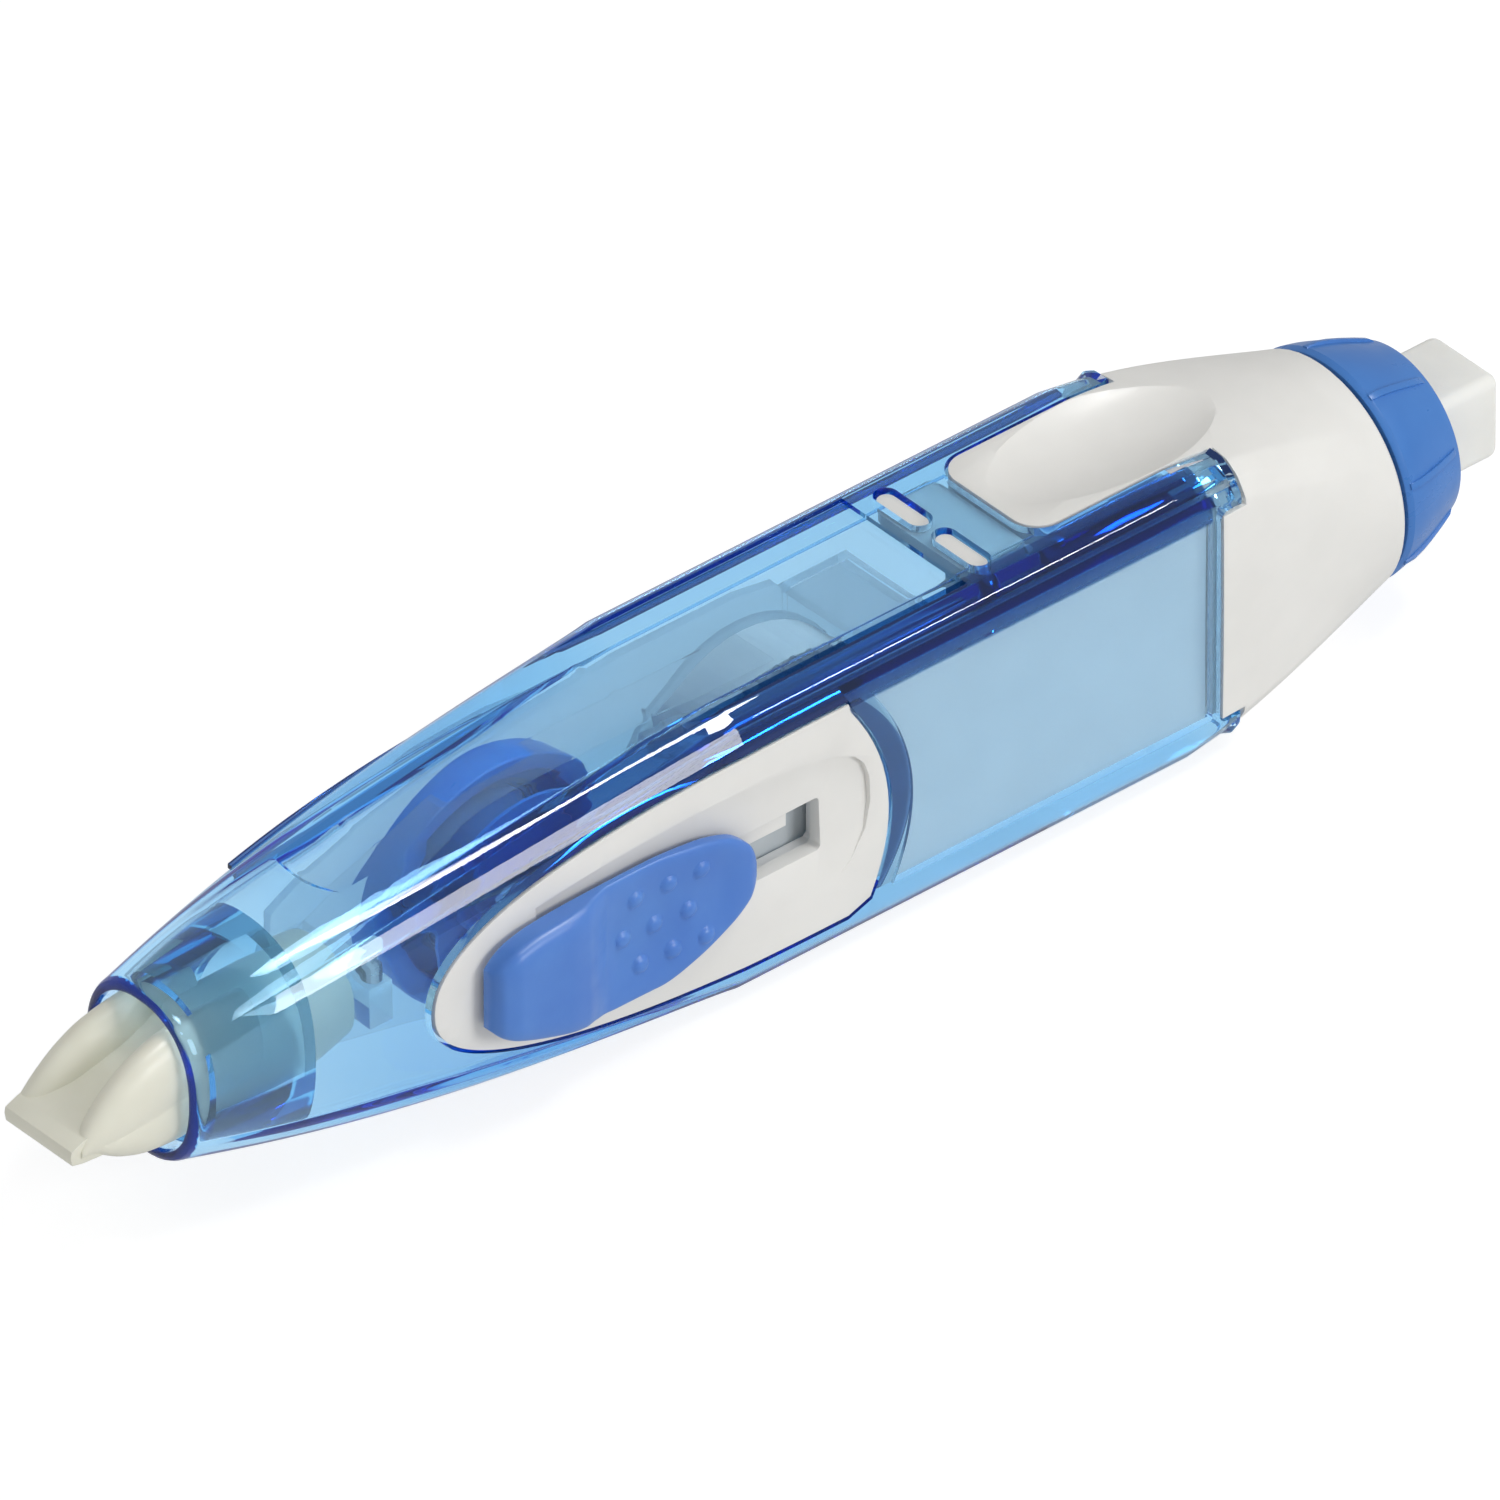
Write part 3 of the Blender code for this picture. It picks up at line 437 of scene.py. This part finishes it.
def outer_corners(a, b):
    """A quarter of the outer section: a flat top, two facets and a flat side."""
    top = a - 2.3
    side = b - 2.35
    ys = [top * i / 3 for i in range(4)] + [a - 1.0] + [a] * 4
    return ys, [b] * 4 + [b - 0.8] + [side * (3 - i) / 3 for i in range(4)]


def pocket_corners(a, b):
    """A quarter of the cover's inside: a shallow pocket in the roof, a ledge and a square corner."""
    ledge = b - POCKET_STEP
    ys = [POCKET_HALF * i / 3 for i in range(4)] + [POCKET_HALF] + [a] * 4
    return ys, [b] * 4 + [ledge] + [ledge * (3 - i) / 3 for i in range(4)]


def body_ring(x, inset_y=0.0, inset_z=None, corners=outer_corners, soften=0.12):
    """The section at x, shrunk by the insets, as (y, z) points round the axis from the top."""
    a = half_width(x) - inset_y
    b = half_height(x) - (inset_y if inset_z is None else inset_z)
    share = oval_share(x)
    power = 2 / (2.0 if x > FLAT_END else 2.3)
    ys, zs = corners(a, b)
    quarter = []
    for t in QUARTER_STEPS:
        near = [max(0.0, t - soften), t, min(8.0, t + soften)] if 2 < t < 6 else [t]
        y = sum(along(ys, place) for place in near) / len(near)
        z = sum(along(zs, place) for place in near) / len(near)
        angle = math.radians(along(OVAL_ANGLES, t))
        oval_y = a * max(0.0, math.cos(angle)) ** power if t > 0 else 0.0
        oval_z = b * max(0.0, math.sin(angle)) ** power if t < 8 else 0.0
        quarter.append((y + (oval_y - y) * share, z + (oval_z - z) * share))
    right = quarter + [(y, -z) for y, z in quarter[-2::-1]]
    return right + [(-y, z) for y, z in right[-2:0:-1]]


def at(x, points):
    return [(x, y, z) for y, z in points]


def body_solid(stations, inset_y=0.0, inset_z=None):
    return bridged([at(x, body_ring(x, inset_y, inset_z)) for x in stations])


def cover_wall(x):
    return NOSE_WALL + (COVER_WALL - NOSE_WALL) * min(1.0, max(0.0, (x - 18) / 12))


def rear_edge(z):
    """Where the slide panel's bowed and slanted rear edge is, at height z."""
    return PANEL_REAR - 0.034 * z * z - 0.109 * z


def panel_outline(grow=0.0, steps=44):
    """The slide panel: a teardrop pointing to the nose, with a bowed rear edge."""
    start = PANEL_START - grow
    tall = PANEL_HALF_HEIGHT + grow
    length = 39.5 + grow
    upper = []
    for i in range(steps + 1):
        share = (i / steps) ** 1.7
        upper.append((start + share * length, tall * (1 - (1 - share) ** 2.6) ** 0.45))
    rear = []
    for z in span(0.92 * tall, -0.92 * tall, 15):
        rear.append((rear_edge(z) + grow, z))
    return upper + rear + [(x, -z) for x, z in upper[:0:-1]]


# The tinted cover

WINDOW_FRONT, WINDOW_REAR = 25.0, 83.6
WINDOW_HALF = 8.0
WINDOW_BOW = 0.11
FAR_BOW_SHARE = 0.35
ARM_START = 106.3
ARM_HALF_HEIGHT = 9.6
COLLAR_START, COLLAR_END = 12.0, 20.4
COLLAR_CLEARANCE = 1.05
SHADE_STRIP_INSETS = (1.2, 1.65)
LABEL_HALF_HEIGHT = 9.1
LABEL_REAR = 105.8
ARCH_HALF_HEIGHT = 9.0
ARCH_LEVELS = (-8.24, -8.02)


def window_cutter():
    """A shallow recess in the cover's top: its front edge is an arc and its floor follows the skin."""
    loops = []
    for x in span(20.0, 84.2, 60):
        half = 0.74 * half_width(x)
        floor = half_height(x) - WINDOW_DEPTH
        loops.append([(x, -half, floor), (x, half, floor), (x, half, floor + 3), (x, -half, floor + 3)])
    arc = []
    for y in span(-WINDOW_HALF, WINDOW_HALF, 25):
        share = 1.0 if y < 0 else FAR_BOW_SHARE
        arc.append((WINDOW_FRONT + WINDOW_BOW * y * y * share, y))
    outline = arc + [(WINDOW_REAR, WINDOW_HALF), (WINDOW_REAR, -WINDOW_HALF)]
    return combined(bridged(loops), ("INTERSECT", prism(outline, "XY", 0.0, 16.0)))


def make_cover():
    nose = span(11.0, FLAT_START, 50)
    outer = [(RIM_X, 10.2, 0.62), (RIM_X + 0.06, 10.2, 0.36), (RIM_X + 0.22, 10.2, 0.12)]
    outer += [(RIM_X + 0.5, 10.3, 0.0), (RIM_X + 0.85, 10.6, 0.0)]
    loops = [at(x, body_ring(section, inset)) for x, section, inset in outer]
    loops += [at(x, body_ring(x)) for x in nose + span(64.0, COVER_END - 0.7, 12)]
    loops += [at(COVER_END - 0.25, body_ring(FLAT_START, 0.1)), at(COVER_END, body_ring(FLAT_START, 0.4))]
    inside = [at(RIM_X + 0.05, body_ring(10.2, 0.8)), at(RIM_X + 0.4, body_ring(10.3, NOSE_WALL))]
    for x in nose + [COVER_END - 0.3, COVER_END]:
        section = min(x, FLAT_START)
        inside.append(at(x, body_ring(section, cover_wall(section), corners=pocket_corners, soften=0.05)))
    cuts = [
        ("DIFFERENCE", prism(panel_outline(0.35), "XZ", -12, -6.6)),
        ("DIFFERENCE", window_cutter()),
    ]
    for side in (-1, 1):
        y = side * LATCH_OFFSET
        xs = (LATCH_X - LATCH_SLOT_HALF_WIDTH, LATCH_X + LATCH_SLOT_HALF_WIDTH)
        ys = (y - LATCH_SLOT_HALF_LENGTH, y + LATCH_SLOT_HALF_LENGTH)
        slot = rounded_outline(*xs, *ys, 0.99)
        cuts.append(("DIFFERENCE", prism(slot, "XY", 10.5, 14)))
    edge = SADDLE_HALF + GAP
    bay = rounded_outline(SADDLE_FRONT - GAP, COVER_END + 6, -edge, edge, 2.6)
    cuts += [("DIFFERENCE", prism(bay, "XY", *levels)) for levels in ((9, 15), (-15, -9))]
    cuts.append(("DIFFERENCE", prism(label_outline(), "XZ", -LABEL_FACE, -7.9)))
    end = rounded_outline(ARM_START, COVER_END + 5, -ARM_HALF_HEIGHT, ARM_HALF_HEIGHT, 0.8)
    cuts.append(("DIFFERENCE", prism(end, "XZ", -12, 12)))
    shell = bridged(loops + inside[::-1], closed=True)
    piece("tinted_front_cover", combined(shell, *cuts), TINTED, "clear_blue", "housing", "outer_cover")


def make_collar():
    """A thick sleeve inside the nose. Its bore keeps one size while the body swells round it."""
    stations = span(COLLAR_START, COLLAR_END, 12)
    loops = [at(x, body_ring(x, COLLAR_CLEARANCE)) for x in stations]
    for x in stations[::-1]:
        inset_y = half_width(x) - COLLAR_BORE_HALF_WIDTH
        loops.append(at(x, body_ring(x, inset_y, half_height(x) - COLLAR_BORE_HALF_HEIGHT)))
    collar = bridged(loops, closed=True)
    piece("tinted_nose_collar", collar, COLLAR, "clear_blue", "housing", "nose_collar")


def make_painted_collar_shade():
    """Strips of painted shade in the collar's corners, far and high and near and low: strongly tinted, they
    render navy where the real collar is dark from reflections inside its thick walls.
    """
    first, last = QUARTER_STEPS.index(3.5), QUARTER_STEPS.index(6)
    for sign, name in ((1, "high"), (-1, "low")):
        loops = []
        for x in span(12.2, 20.2, 12):
            outside, inside = (body_ring(x, inset)[first:last + 1] for inset in SHADE_STRIP_INSETS)
            loops.append([(x, sign * y, sign * z) for y, z in outside + inside[::-1]])
        piece(f"collar_painted_shade_{name}", bridged(loops), PAINTED_SHADE_INLAY, "clear_blue", "housing", sharp=40)


def label_outline():
    """The flat zone behind the slide panel: its front edge runs beside the panel's bowed rear edge."""
    half = LABEL_HALF_HEIGHT
    front = [(rear_edge(z) + ARCH_WIDTH + 0.35, z) for z in span(-half, half, 25)]
    return front + [(LABEL_REAR, half), (LABEL_REAR, -half)]


def make_painted_corner_shade():
    """Strips of painted shade in the cover's upper corners: strongly tinted, they make its edges render
    navy, where the real wall is dark from reflections inside it.

    The near one is a sheet embedded in the wall, which hardly bends light. The far one is a thin bar in
    the cavity's corner, a little way inside the wall.
    """
    first, last = QUARTER_STEPS.index(2.7), QUARTER_STEPS.index(5.3)
    loops = []
    for x in span(27.0, 105.6, 100):
        section = min(x, FLAT_START)
        fade = smoothstep(26.0, 44.0, x)
        outside = body_ring(section, 0.16)[first:last + 1]
        inside = body_ring(section, 0.2 + 0.32 * fade)[first:last + 1]
        loops.append([(x, -y, z) for y, z in outside + inside[::-1]])
    piece("corner_painted_shade_near", bridged(loops), PAINTED_SHADE_INLAY, "clear_blue", "housing", sharp=40)

    loops = []
    for x in span(24.0, 105.4, 80):
        section = min(x, FLAT_START)
        y, z = half_width(section) - 1.6, half_height(section) - 2.0
        loops.append([(x, y, z), (x, y, z - 0.4), (x, y - 0.45, z - 0.4), (x, y - 0.45, z)])
    piece("corner_painted_shade_far", bridged(loops), PAINTED_SHADE_DEEP, "clear_blue", "housing", sharp=40)


def make_painted_arch_shade():
    """A strongly tinted arc of painted shade beside the slide panel's rear edge, which renders as the navy
    line there.
    """
    half = ARCH_HALF_HEIGHT
    front = [(rear_edge(z) + 0.5, z) for z in span(-half, half, 33)]
    rear = [(x + ARCH_WIDTH * (1 - 0.5 * (z / half) ** 2), z) for x, z in front]
    shade_strip = prism(front + rear[::-1], "XZ", *ARCH_LEVELS)
    piece("panel_arch_painted_shade", shade_strip, PAINTED_SHADE_DEEP, "clear_blue", "housing", sharp=40)


# The white pieces fixed to the cover


def make_slide_panel():
    stations = span(24.0, 60.0, 37) + [70.0, 80.0]
    track_top = [(40.0, 5.3), (48.0, 6.3), (56.0, 6.7), (63.0, 6.5), (68.0, 5.7), (70.6, 4.6)]
    track = [(x, eased(track_top, x)) for x in span(40.0, 70.6, 40)]
    track += [(71.5, 3.6), (72.0, 2.2), (72.1, 0.0), (71.6, -2.4), (70.2, -4.6), (67.6, -6.4)]
    track += [(62.0, -7.6), (50.0, -8.0), (40.0, -7.0)]
    tilted = []
    for x, z in track:
        tilted.append((x, -8.95 - 0.62 * smoothstep(3.0, -7.6, z), z))
    cutter = bridged([tilted, [(x, -12.0, z) for x, y, z in tilted]])
    slot = rounded_outline(49.6, 67.4, -2.3, 2.3, 0.4)
    panel = combined(
        prism(panel_outline(), "XZ", -12, -PANEL_BACK),
        ("INTERSECT", body_solid(stations)),
        ("DIFFERENCE", cutter),
        ("DIFFERENCE", prism(slot, "XZ", -12, -6)),
        ("UNION", box((57.6, -8.9, 1.0), (64.4, -8.2, 3.0))),
        bevel=(0.16, 3, 35),
    )
    piece("white_slide_panel", panel, WHITE, "white_shell", "housing", "slide_panel")


def saddle_side_loop(side):
    """The space beside the saddle, whose front corner is round."""
    radius = 2.3
    x, y = SADDLE_FRONT + radius, SADDLE_HALF - radius
    loop = [(SADDLE_FRONT - 1, side * y)]
    for i in range(17):
        angle = math.pi - math.pi / 2 * i / 16
        loop.append((x + radius * math.cos(angle), side * (y + radius * math.sin(angle))))
    return loop + [(106.6, side * SADDLE_HALF), (106.6, side * 13), (SADDLE_FRONT - 1, side * 13)]


def make_rear_housing():
    stations = [SADDLE_FRONT, 96.0, 100.0] + span(FLAT_END, HOUSING_END - 0.25, 40)
    loops = [at(x, body_ring(x)) for x in stations] + [at(HOUSING_END, body_ring(HOUSING_END, 0.25))]
    cuts = []
    for y in (-1, 1):
        cuts.append(("DIFFERENCE", prism(saddle_side_loop(y), "XY", -15, 15)))
        for z in (-1, 1):
            low = (105, min(y * SADDLE_HALF, y * 14), min(z * 9.2, z * 16))
            high = (COVER_END + GAP, max(y * SADDLE_HALF, y * 14), max(z * 9.2, z * 16))
            cuts.append(("DIFFERENCE", box(low, high)))
    cuts.append(("UNION", body_solid((SADDLE_FRONT + 0.05, 103.0, 107.0), NECK_INSET)))
    cuts.append(("UNION", body_solid((105.9, 107.0, 110.5), SEAT_INSET)))
    hollow = [at(x, body_ring(x, 2.5, 3.2)) for x in (90.0, 107.3, 110.0)]
    hollow += [at(x, body_ring(x, 1.5)) for x in (116.0, 120.0, 122.5, HOUSING_END + 1)]
    cuts.append(("DIFFERENCE", bridged(hollow)))
    cuts.append(("DIFFERENCE", box((SADDLE_FRONT - 2, -8.5, -9.7), (106.2, -6.7, 9.7))))
    dish = bmesh.new()
    centre = Matrix.Translation((DISH_CENTRE_X, 0, HALF_HEIGHT + DISH_LIFT))
    place = centre @ Matrix.Diagonal((*DISH_RADII, 1.0))
    bmesh.ops.create_uvsphere(dish, u_segments=96, v_segments=64, radius=1.0, matrix=place)
    cuts.append(("DIFFERENCE", dish))
    housing = combined(bridged(loops), *cuts, bevel=(0.22, 3, 32))
    piece("white_tail_shell", housing, WHITE, "white_shell", "housing", "rear_housing")


def make_knob():
    rim = [(7.0, KNOB_END - 0.05), (7.12, KNOB_END), (7.3, KNOB_END - 0.08), (7.6, KNOB_END - 0.8)]
    skirt = [(9.36, KNOB_START + 0.1), (9.28, KNOB_START), (6.85, KNOB_START), (6.85, 129.3)]
    curve = [(x, r) for r, x in ((9.5, KNOB_START + 0.5), (9.3, 126.4), (8.6, 128.6), (7.6, KNOB_END - 0.8))]
    flank = [(eased(curve, x), x) for x in span(KNOB_END - 1.2, KNOB_START + 0.5, 14)]
    knob = turned(rim + flank + skirt + [(5.2, 129.3), (5.2, KNOB_END - 0.4), (5.4, KNOB_END - 0.1)])
    crest = [(125.3, 8.9), (125.3, 9.62), (126.4, 9.55), (127.5, 9.25), (128.6, 8.86), (130.0, 8.3)]
    crest += [(131.0, 7.86), (131.4, 7.5), (129.0, 7.4)]
    steps = []
    for k in range(KNOB_RIDGES):
        ridge = prism(crest, "XZ", -0.26, 0.26)
        turn = FIRST_RIDGE_ANGLE + 360 * k / KNOB_RIDGES
        ridge.transform(Matrix.Rotation(math.radians(turn), 4, "X"))
        steps.append(("UNION", ridge))
    knob = combined(knob, *steps, bevel=(0.12, 3, 30))
    piece("blue_twist_knob", knob, BLUE, "blue_plastic", "knob", "twist_knob")


def make_eraser():
    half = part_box("eraser_block")[1].y / MM
    block = box((ERASER_START, -half, -half), (ERASER_END + ERASER_EXTRA, half, half))
    block = combined(block, bevel=(ERASER_ROUNDING, 8, 40))
    turns = span(0, 2 * math.pi, 33)[:-1]
    circle = [(SOCKET_RADIUS * math.cos(a), SOCKET_RADIUS * math.sin(a)) for a in turns]
    socket = bridged([at(x, circle) for x in (SOCKET_START, SOCKET_END)])
    block = combined(block, ("DIFFERENCE", socket))
    piece("square_eraser", block, RUBBER, "eraser_white", "eraser", "eraser_block")


# The slide button

BUTTON_UPPER = [(34.4, 2.6), (35.3, 3.5), (36.6, 4.2), (39.0, 4.7), (43.0, 4.95), (50.0, 5.05), (54.5, 4.7)]
BUTTON_UPPER += [(57.6, 3.9), (59.6, 2.4), (60.3, 1.2), (60.5, 0.2)]
BUTTON_LOWER = [(34.4, -2.4), (35.3, -3.3), (36.6, -4.0), (39.0, -4.9), (43.0, -6.0), (47.0, -6.6)]
BUTTON_LOWER += [(51.0, -6.6), (54.5, -5.6), (57.6, -4.1), (59.6, -2.8), (60.3, -1.9), (60.5, -1.0)]
BUTTON_TOP = [(34.4, 10.9), (35.2, 11.6), (36.6, 11.95), (41.0, 12.0), (43.0, 11.75), (44.6, 11.0)]
BUTTON_TOP += [(46.2, 10.45), (50.5, 10.5), (54.5, 10.8), (57.5, 10.85), (59.6, 10.6), (60.5, 10.2)]
DOT_ROWS = ((2.4, (48.8, 51.9, 54.9)), (-0.8, (47.7, 50.7, 53.8)), (-3.7, (49.3, 52.3, 55.3)))
DOT_RADIUS = 0.72
DOT_HEIGHT = 0.34


def button_height(x, z):
    """How far the button's top stands from the body's axis, with the dish and the dots in its pad."""
    low, high = eased(BUTTON_LOWER, x), eased(BUTTON_UPPER, x)
    share = min(1.0, abs(2 * z - low - high) / (high - low))
    top = eased(BUTTON_TOP, x)
    pad = smoothstep(44.0, 47.5, x) * smoothstep(60.2, 56.5, x)
    top -= 0.5 * pad * (1 - share * share)
    for dot_z, places in DOT_ROWS:
        for dot_x in places:
            reach = math.hypot(x - dot_x, z - dot_z) / DOT_RADIUS
            if reach < 1:
                top += DOT_HEIGHT * (1 - reach**2.6) ** 0.6
    edge = (1 - share**6) ** 0.4 if share < 1 else 0.0
    return BUTTON_BASE + (top - BUTTON_BASE) * (0.5 + 0.5 * edge)


def make_slide_button():
    xs = span(34.5, 60.45, 190)
    across = [math.sin(math.pi / 2 * t) for t in span(-1.0, 1.0, 97)]
    loops = []
    for x in xs:
        low, high = eased(BUTTON_LOWER, x), eased(BUTTON_UPPER, x)
        close = min(1.0, (x - 34.5) / 0.5)
        drop = 0.35 * (1 - close) ** 2
        heights = [(low + high + (high - low) * v) / 2 for v in across]
        top = [(x, -(button_height(x, z) - drop), z) for z in heights]
        loops.append(top + [(x, -BUTTON_BASE, high), (x, -BUTTON_BASE, low)])
    button = bridged(loops)
    piece("thumb_slide", button, BUTTON, "button_blue", "cartridge", "slide_button", sharp=40)


SHOE_CORNERS = ((44.0, -6.75, -3.4), (69.8, -5.5, 3.4))
STEM_CORNERS = ((50.0, -9.4, -1.95), (56.5, -6.0, 1.95))


def make_carriage():
    """The grey shoe that slides behind the slot, with the stem that carries the button."""
    shoe = combined(
        box(*SHOE_CORNERS),
        ("UNION", box(*STEM_CORNERS)),
        bevel=(0.15, 2, 35),
    )
    piece("slide_carriage", shoe, GREY, "light_grey", "cartridge", "button_carriage")


def make_takeup_rim():
    """The take-up reel's thick rim, which shows blue through the window."""
    radii = (TAKEUP_RIM_RADIUS, TAKEUP_RIM_BORE)
    outer, bore = (rounded_outline(TAKEUP_X - r, TAKEUP_X + r, -r, r, r, 24) for r in radii)
    cut = ("DIFFERENCE", prism(bore, "XZ", *TAKEUP_BORE_LEVELS))
    rim = combined(prism(outer, "XZ", *TAKEUP_RIM_LEVELS), cut, bevel=(0.3, 3, 40))
    piece("takeup_rim", rim, REEL_BLUE, "blue_plastic", "takeup_reel")


# The applicator head

HEAD_WIDTH = [(1.7, 3.8), (3.2, 4.35), (5.2, 4.6), (7.6, 4.7), (10.5, 4.7), (14.0, 4.7), (22.0, 4.7)]
HEAD_WIDTH += [(26.7, 4.2)]
HEAD_LOW = [(1.7, -1.75), (3.2, -3.0), (5.2, -4.3), (7.6, -5.2), (10.5, -5.6), (14.0, -5.6)]
HEAD_LOW += [(22.0, -5.2), (26.7, -4.2)]
HEAD_HIGH = [(1.7, -0.2), (3.2, 0.3), (5.2, 1.0), (7.6, 1.9), (10.5, 3.0), (14.0, 4.2), (22.0, 4.4)]
HEAD_HIGH += [(26.7, 4.0)]
CHEEK_TOP = [(0.9, -1.0), (1.3, -0.2), (2.2, 0.9), (3.6, 2.2), (5.2, 3.3), (7.2, 4.3), (9.6, 4.95)]
CHEEK_TOP += [(12.5, 5.3), (17.0, 5.2)]
CHEEK_WIDE = [(0.9, 0.15), (1.3, 0.6), (2.2, 1.0), (3.6, 1.35), (5.2, 1.6), (7.2, 1.8), (10.0, 1.95)]
CHEEK_WIDE += [(17.0, 1.95)]
CHEEK_OUT = [(0.9, 3.9), (3.2, 4.35), (5.2, 4.6), (7.6, 4.7), (17.0, 4.7)]


def head_ring(x, count=56):
    low, high = eased(HEAD_LOW, x), eased(HEAD_HIGH, x)
    wide = eased(HEAD_WIDTH, x)
    points = []
    for i in range(count):
        c, s = math.cos(2 * math.pi * i / count), math.sin(2 * math.pi * i / count)
        y = wide * math.copysign(abs(c) ** 0.87, c)
        z = (low + high) / 2 + (high - low) / 2 * math.copysign(abs(s) ** 0.87, s)
        points.append((x, y, z))
    return points


def cheek_ring(x, side, count=40):
    """One domed cheek's section: an egg standing on the head's flank."""
    top, wide = eased(CHEEK_TOP, x), eased(CHEEK_WIDE, x)
    middle = side * (eased(CHEEK_OUT, x) - wide)
    low = min(top - 0.3, max(-2.6, -1.6 - 0.4 * (x - 1)))
    points = []
    for i in range(count):
        c, s = math.cos(2 * math.pi * i / count), math.sin(2 * math.pi * i / count)
        points.append((x, middle + wide * c, (low + top) / 2 + (top - low) / 2 * s))
    return points


def make_head():
    half = 2.6
    under = [(-2, -1.05), (0.4, -1.5), (10, -3.4), (28, -3.6), (28, -9), (-2, -9)]
    blade = [(-0.05, -1.1), (0.05, -0.6), (1.2, -0.1), (8.0, 1.5), (8.0, -2.6), (1.2, -2.1), (0.1, -1.85)]
    steps = [("DIFFERENCE", prism(under, "XZ", -half, half)), ("UNION", prism(blade, "XZ", -3.75, 3.75))]
    steps += [("UNION", bridged([cheek_ring(x, side) for x in span(0.95, 17.0, 48)])) for side in (-1, 1)]
    head = combined(bridged([head_ring(x) for x in span(1.7, 26.7, 60)]), *steps, bevel=(0.2, 3, 35))
    piece("tape_head", head, HEAD, "head_white", "cartridge", "applicator_head", sharp=50)


# The studio, in metres

FLOOR_GLOW = 0.36
FLOOR_GLOW_SEEN = 0.80
WORLD_LIGHT = 0.50
CAMERA_LENS = 1468.8
CAMERA_DISTANCE = 4.5
CAMERA_TARGET = Vector((-0.0063, 0.0001, 0.0136))
CAMERA_BACK = Vector((-0.5270, -0.6105, 0.5913)).normalized()
# Name, place, width, height and watts
SOFTBOXES = (
    ("overhead_softbox", (0.16, -0.22, 0.72), 0.20, 0.12, 1.1),
    ("front_softbox", (0.22, -0.80, 0.36), 0.30, 0.30, 2.6),
)
CARDS = (
    ("highlight_card", (0.30, -0.25, 0.84), 0.36, 0.14, 4.0),
    ("ridge_card", (0.50, -0.50, 0.62), 0.22, 0.05, 1.6),
)


def make_studio():
    """A pale floor that is brighter where the camera sees it, directly or through the glass, and lights.

    The two cards light no diffuse surface: they only give the glossy plastic its highlights.
    """
    bm = bmesh.new()
    bmesh.ops.create_grid(bm, x_segments=8, y_segments=8, size=1.6)
    mesh = bpy.data.meshes.new("studio_floor")
    bm.to_mesh(mesh)
    bm.free()
    floor = bpy.data.objects.new("studio_floor", mesh)
    bpy.context.scene.collection.objects.link(floor)
    material, nodes, links, shader, coordinates = new_surface("studio_paper")
    tint = nodes.new("ShaderNodeMapRange")
    tint.inputs["To Min"].default_value = 0.34
    tint.inputs["To Max"].default_value = 0.36
    links.new(noise(nodes, links, coordinates, 40.0), tint.inputs["Value"])
    links.new(tint.outputs["Result"], shader.inputs["Base Color"])
    shader.inputs["Roughness"].default_value = 1.0
    shader.inputs["Specular IOR Level"].default_value = 0.0
    shader.inputs["Emission Color"].default_value = (1.0, 1.0, 1.0, 1.0)
    path = nodes.new("ShaderNodeLightPath")
    seen = nodes.new("ShaderNodeMath")
    seen.operation = "MAXIMUM"
    links.new(path.outputs["Is Camera Ray"], seen.inputs[0])
    links.new(path.outputs["Is Transmission Ray"], seen.inputs[1])
    glow = nodes.new("ShaderNodeMapRange")
    glow.inputs["To Min"].default_value = FLOOR_GLOW
    glow.inputs["To Max"].default_value = FLOOR_GLOW_SEEN
    links.new(seen.outputs["Value"], glow.inputs["Value"])
    links.new(glow.outputs["Result"], shader.inputs["Emission Strength"])
    mesh.materials.append(material)
    floor.location.z = -0.0002

    world = bpy.data.worlds.new("studio")
    bpy.context.scene.world = world
    world.use_nodes = True
    world.node_tree.nodes["Background"].inputs["Color"].default_value = (1.0, 1.0, 1.0, 1.0)
    world.node_tree.nodes["Background"].inputs["Strength"].default_value = WORLD_LIGHT

    for settings in SOFTBOXES:
        add_softbox(*settings)
    for settings in CARDS:
        add_softbox(*settings).visible_diffuse = False


def add_softbox(name, place, width, height, watts):
    light = bpy.data.lights.new(name, "AREA")
    light.shape = "RECTANGLE"
    light.size, light.size_y = width, height
    light.energy = watts
    obj = bpy.data.objects.new(name, light)
    obj.location = place
    obj.rotation_euler = (-Vector(place)).to_track_quat("-Z", "Y").to_euler()
    bpy.context.scene.collection.objects.link(obj)
    return obj


def make_camera():
    """A long lens, seen from above the nose on the button's side."""
    camera = bpy.data.cameras.new("camera")
    camera.lens = CAMERA_LENS
    camera.sensor_width = 36.0
    camera.clip_end = 20.0
    obj = bpy.data.objects.new("camera", camera)
    obj.location = CAMERA_TARGET + CAMERA_BACK * CAMERA_DISTANCE
    obj.rotation_euler = (-CAMERA_BACK).to_track_quat("-Z", "Y").to_euler()
    bpy.context.scene.collection.objects.link(obj)
    bpy.context.scene.camera = obj


make_camera()
make_studio()
make_cover()
make_collar()
make_painted_collar_shade()
make_painted_corner_shade()
make_painted_arch_shade()
make_slide_panel()
make_rear_housing()
make_knob()
make_eraser()
make_slide_button()
make_carriage()
make_takeup_rim()
make_head()
for node, material in KEPT_NODES.items():
    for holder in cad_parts[node].material_slots:
        holder.material = material

view = bpy.context.scene.view_settings
view.view_transform = "Standard"
cycles = bpy.context.scene.cycles
cycles.max_bounces = 40
cycles.transmission_bounces = 32
cycles.glossy_bounces = 32
cycles.caustics_refractive = True
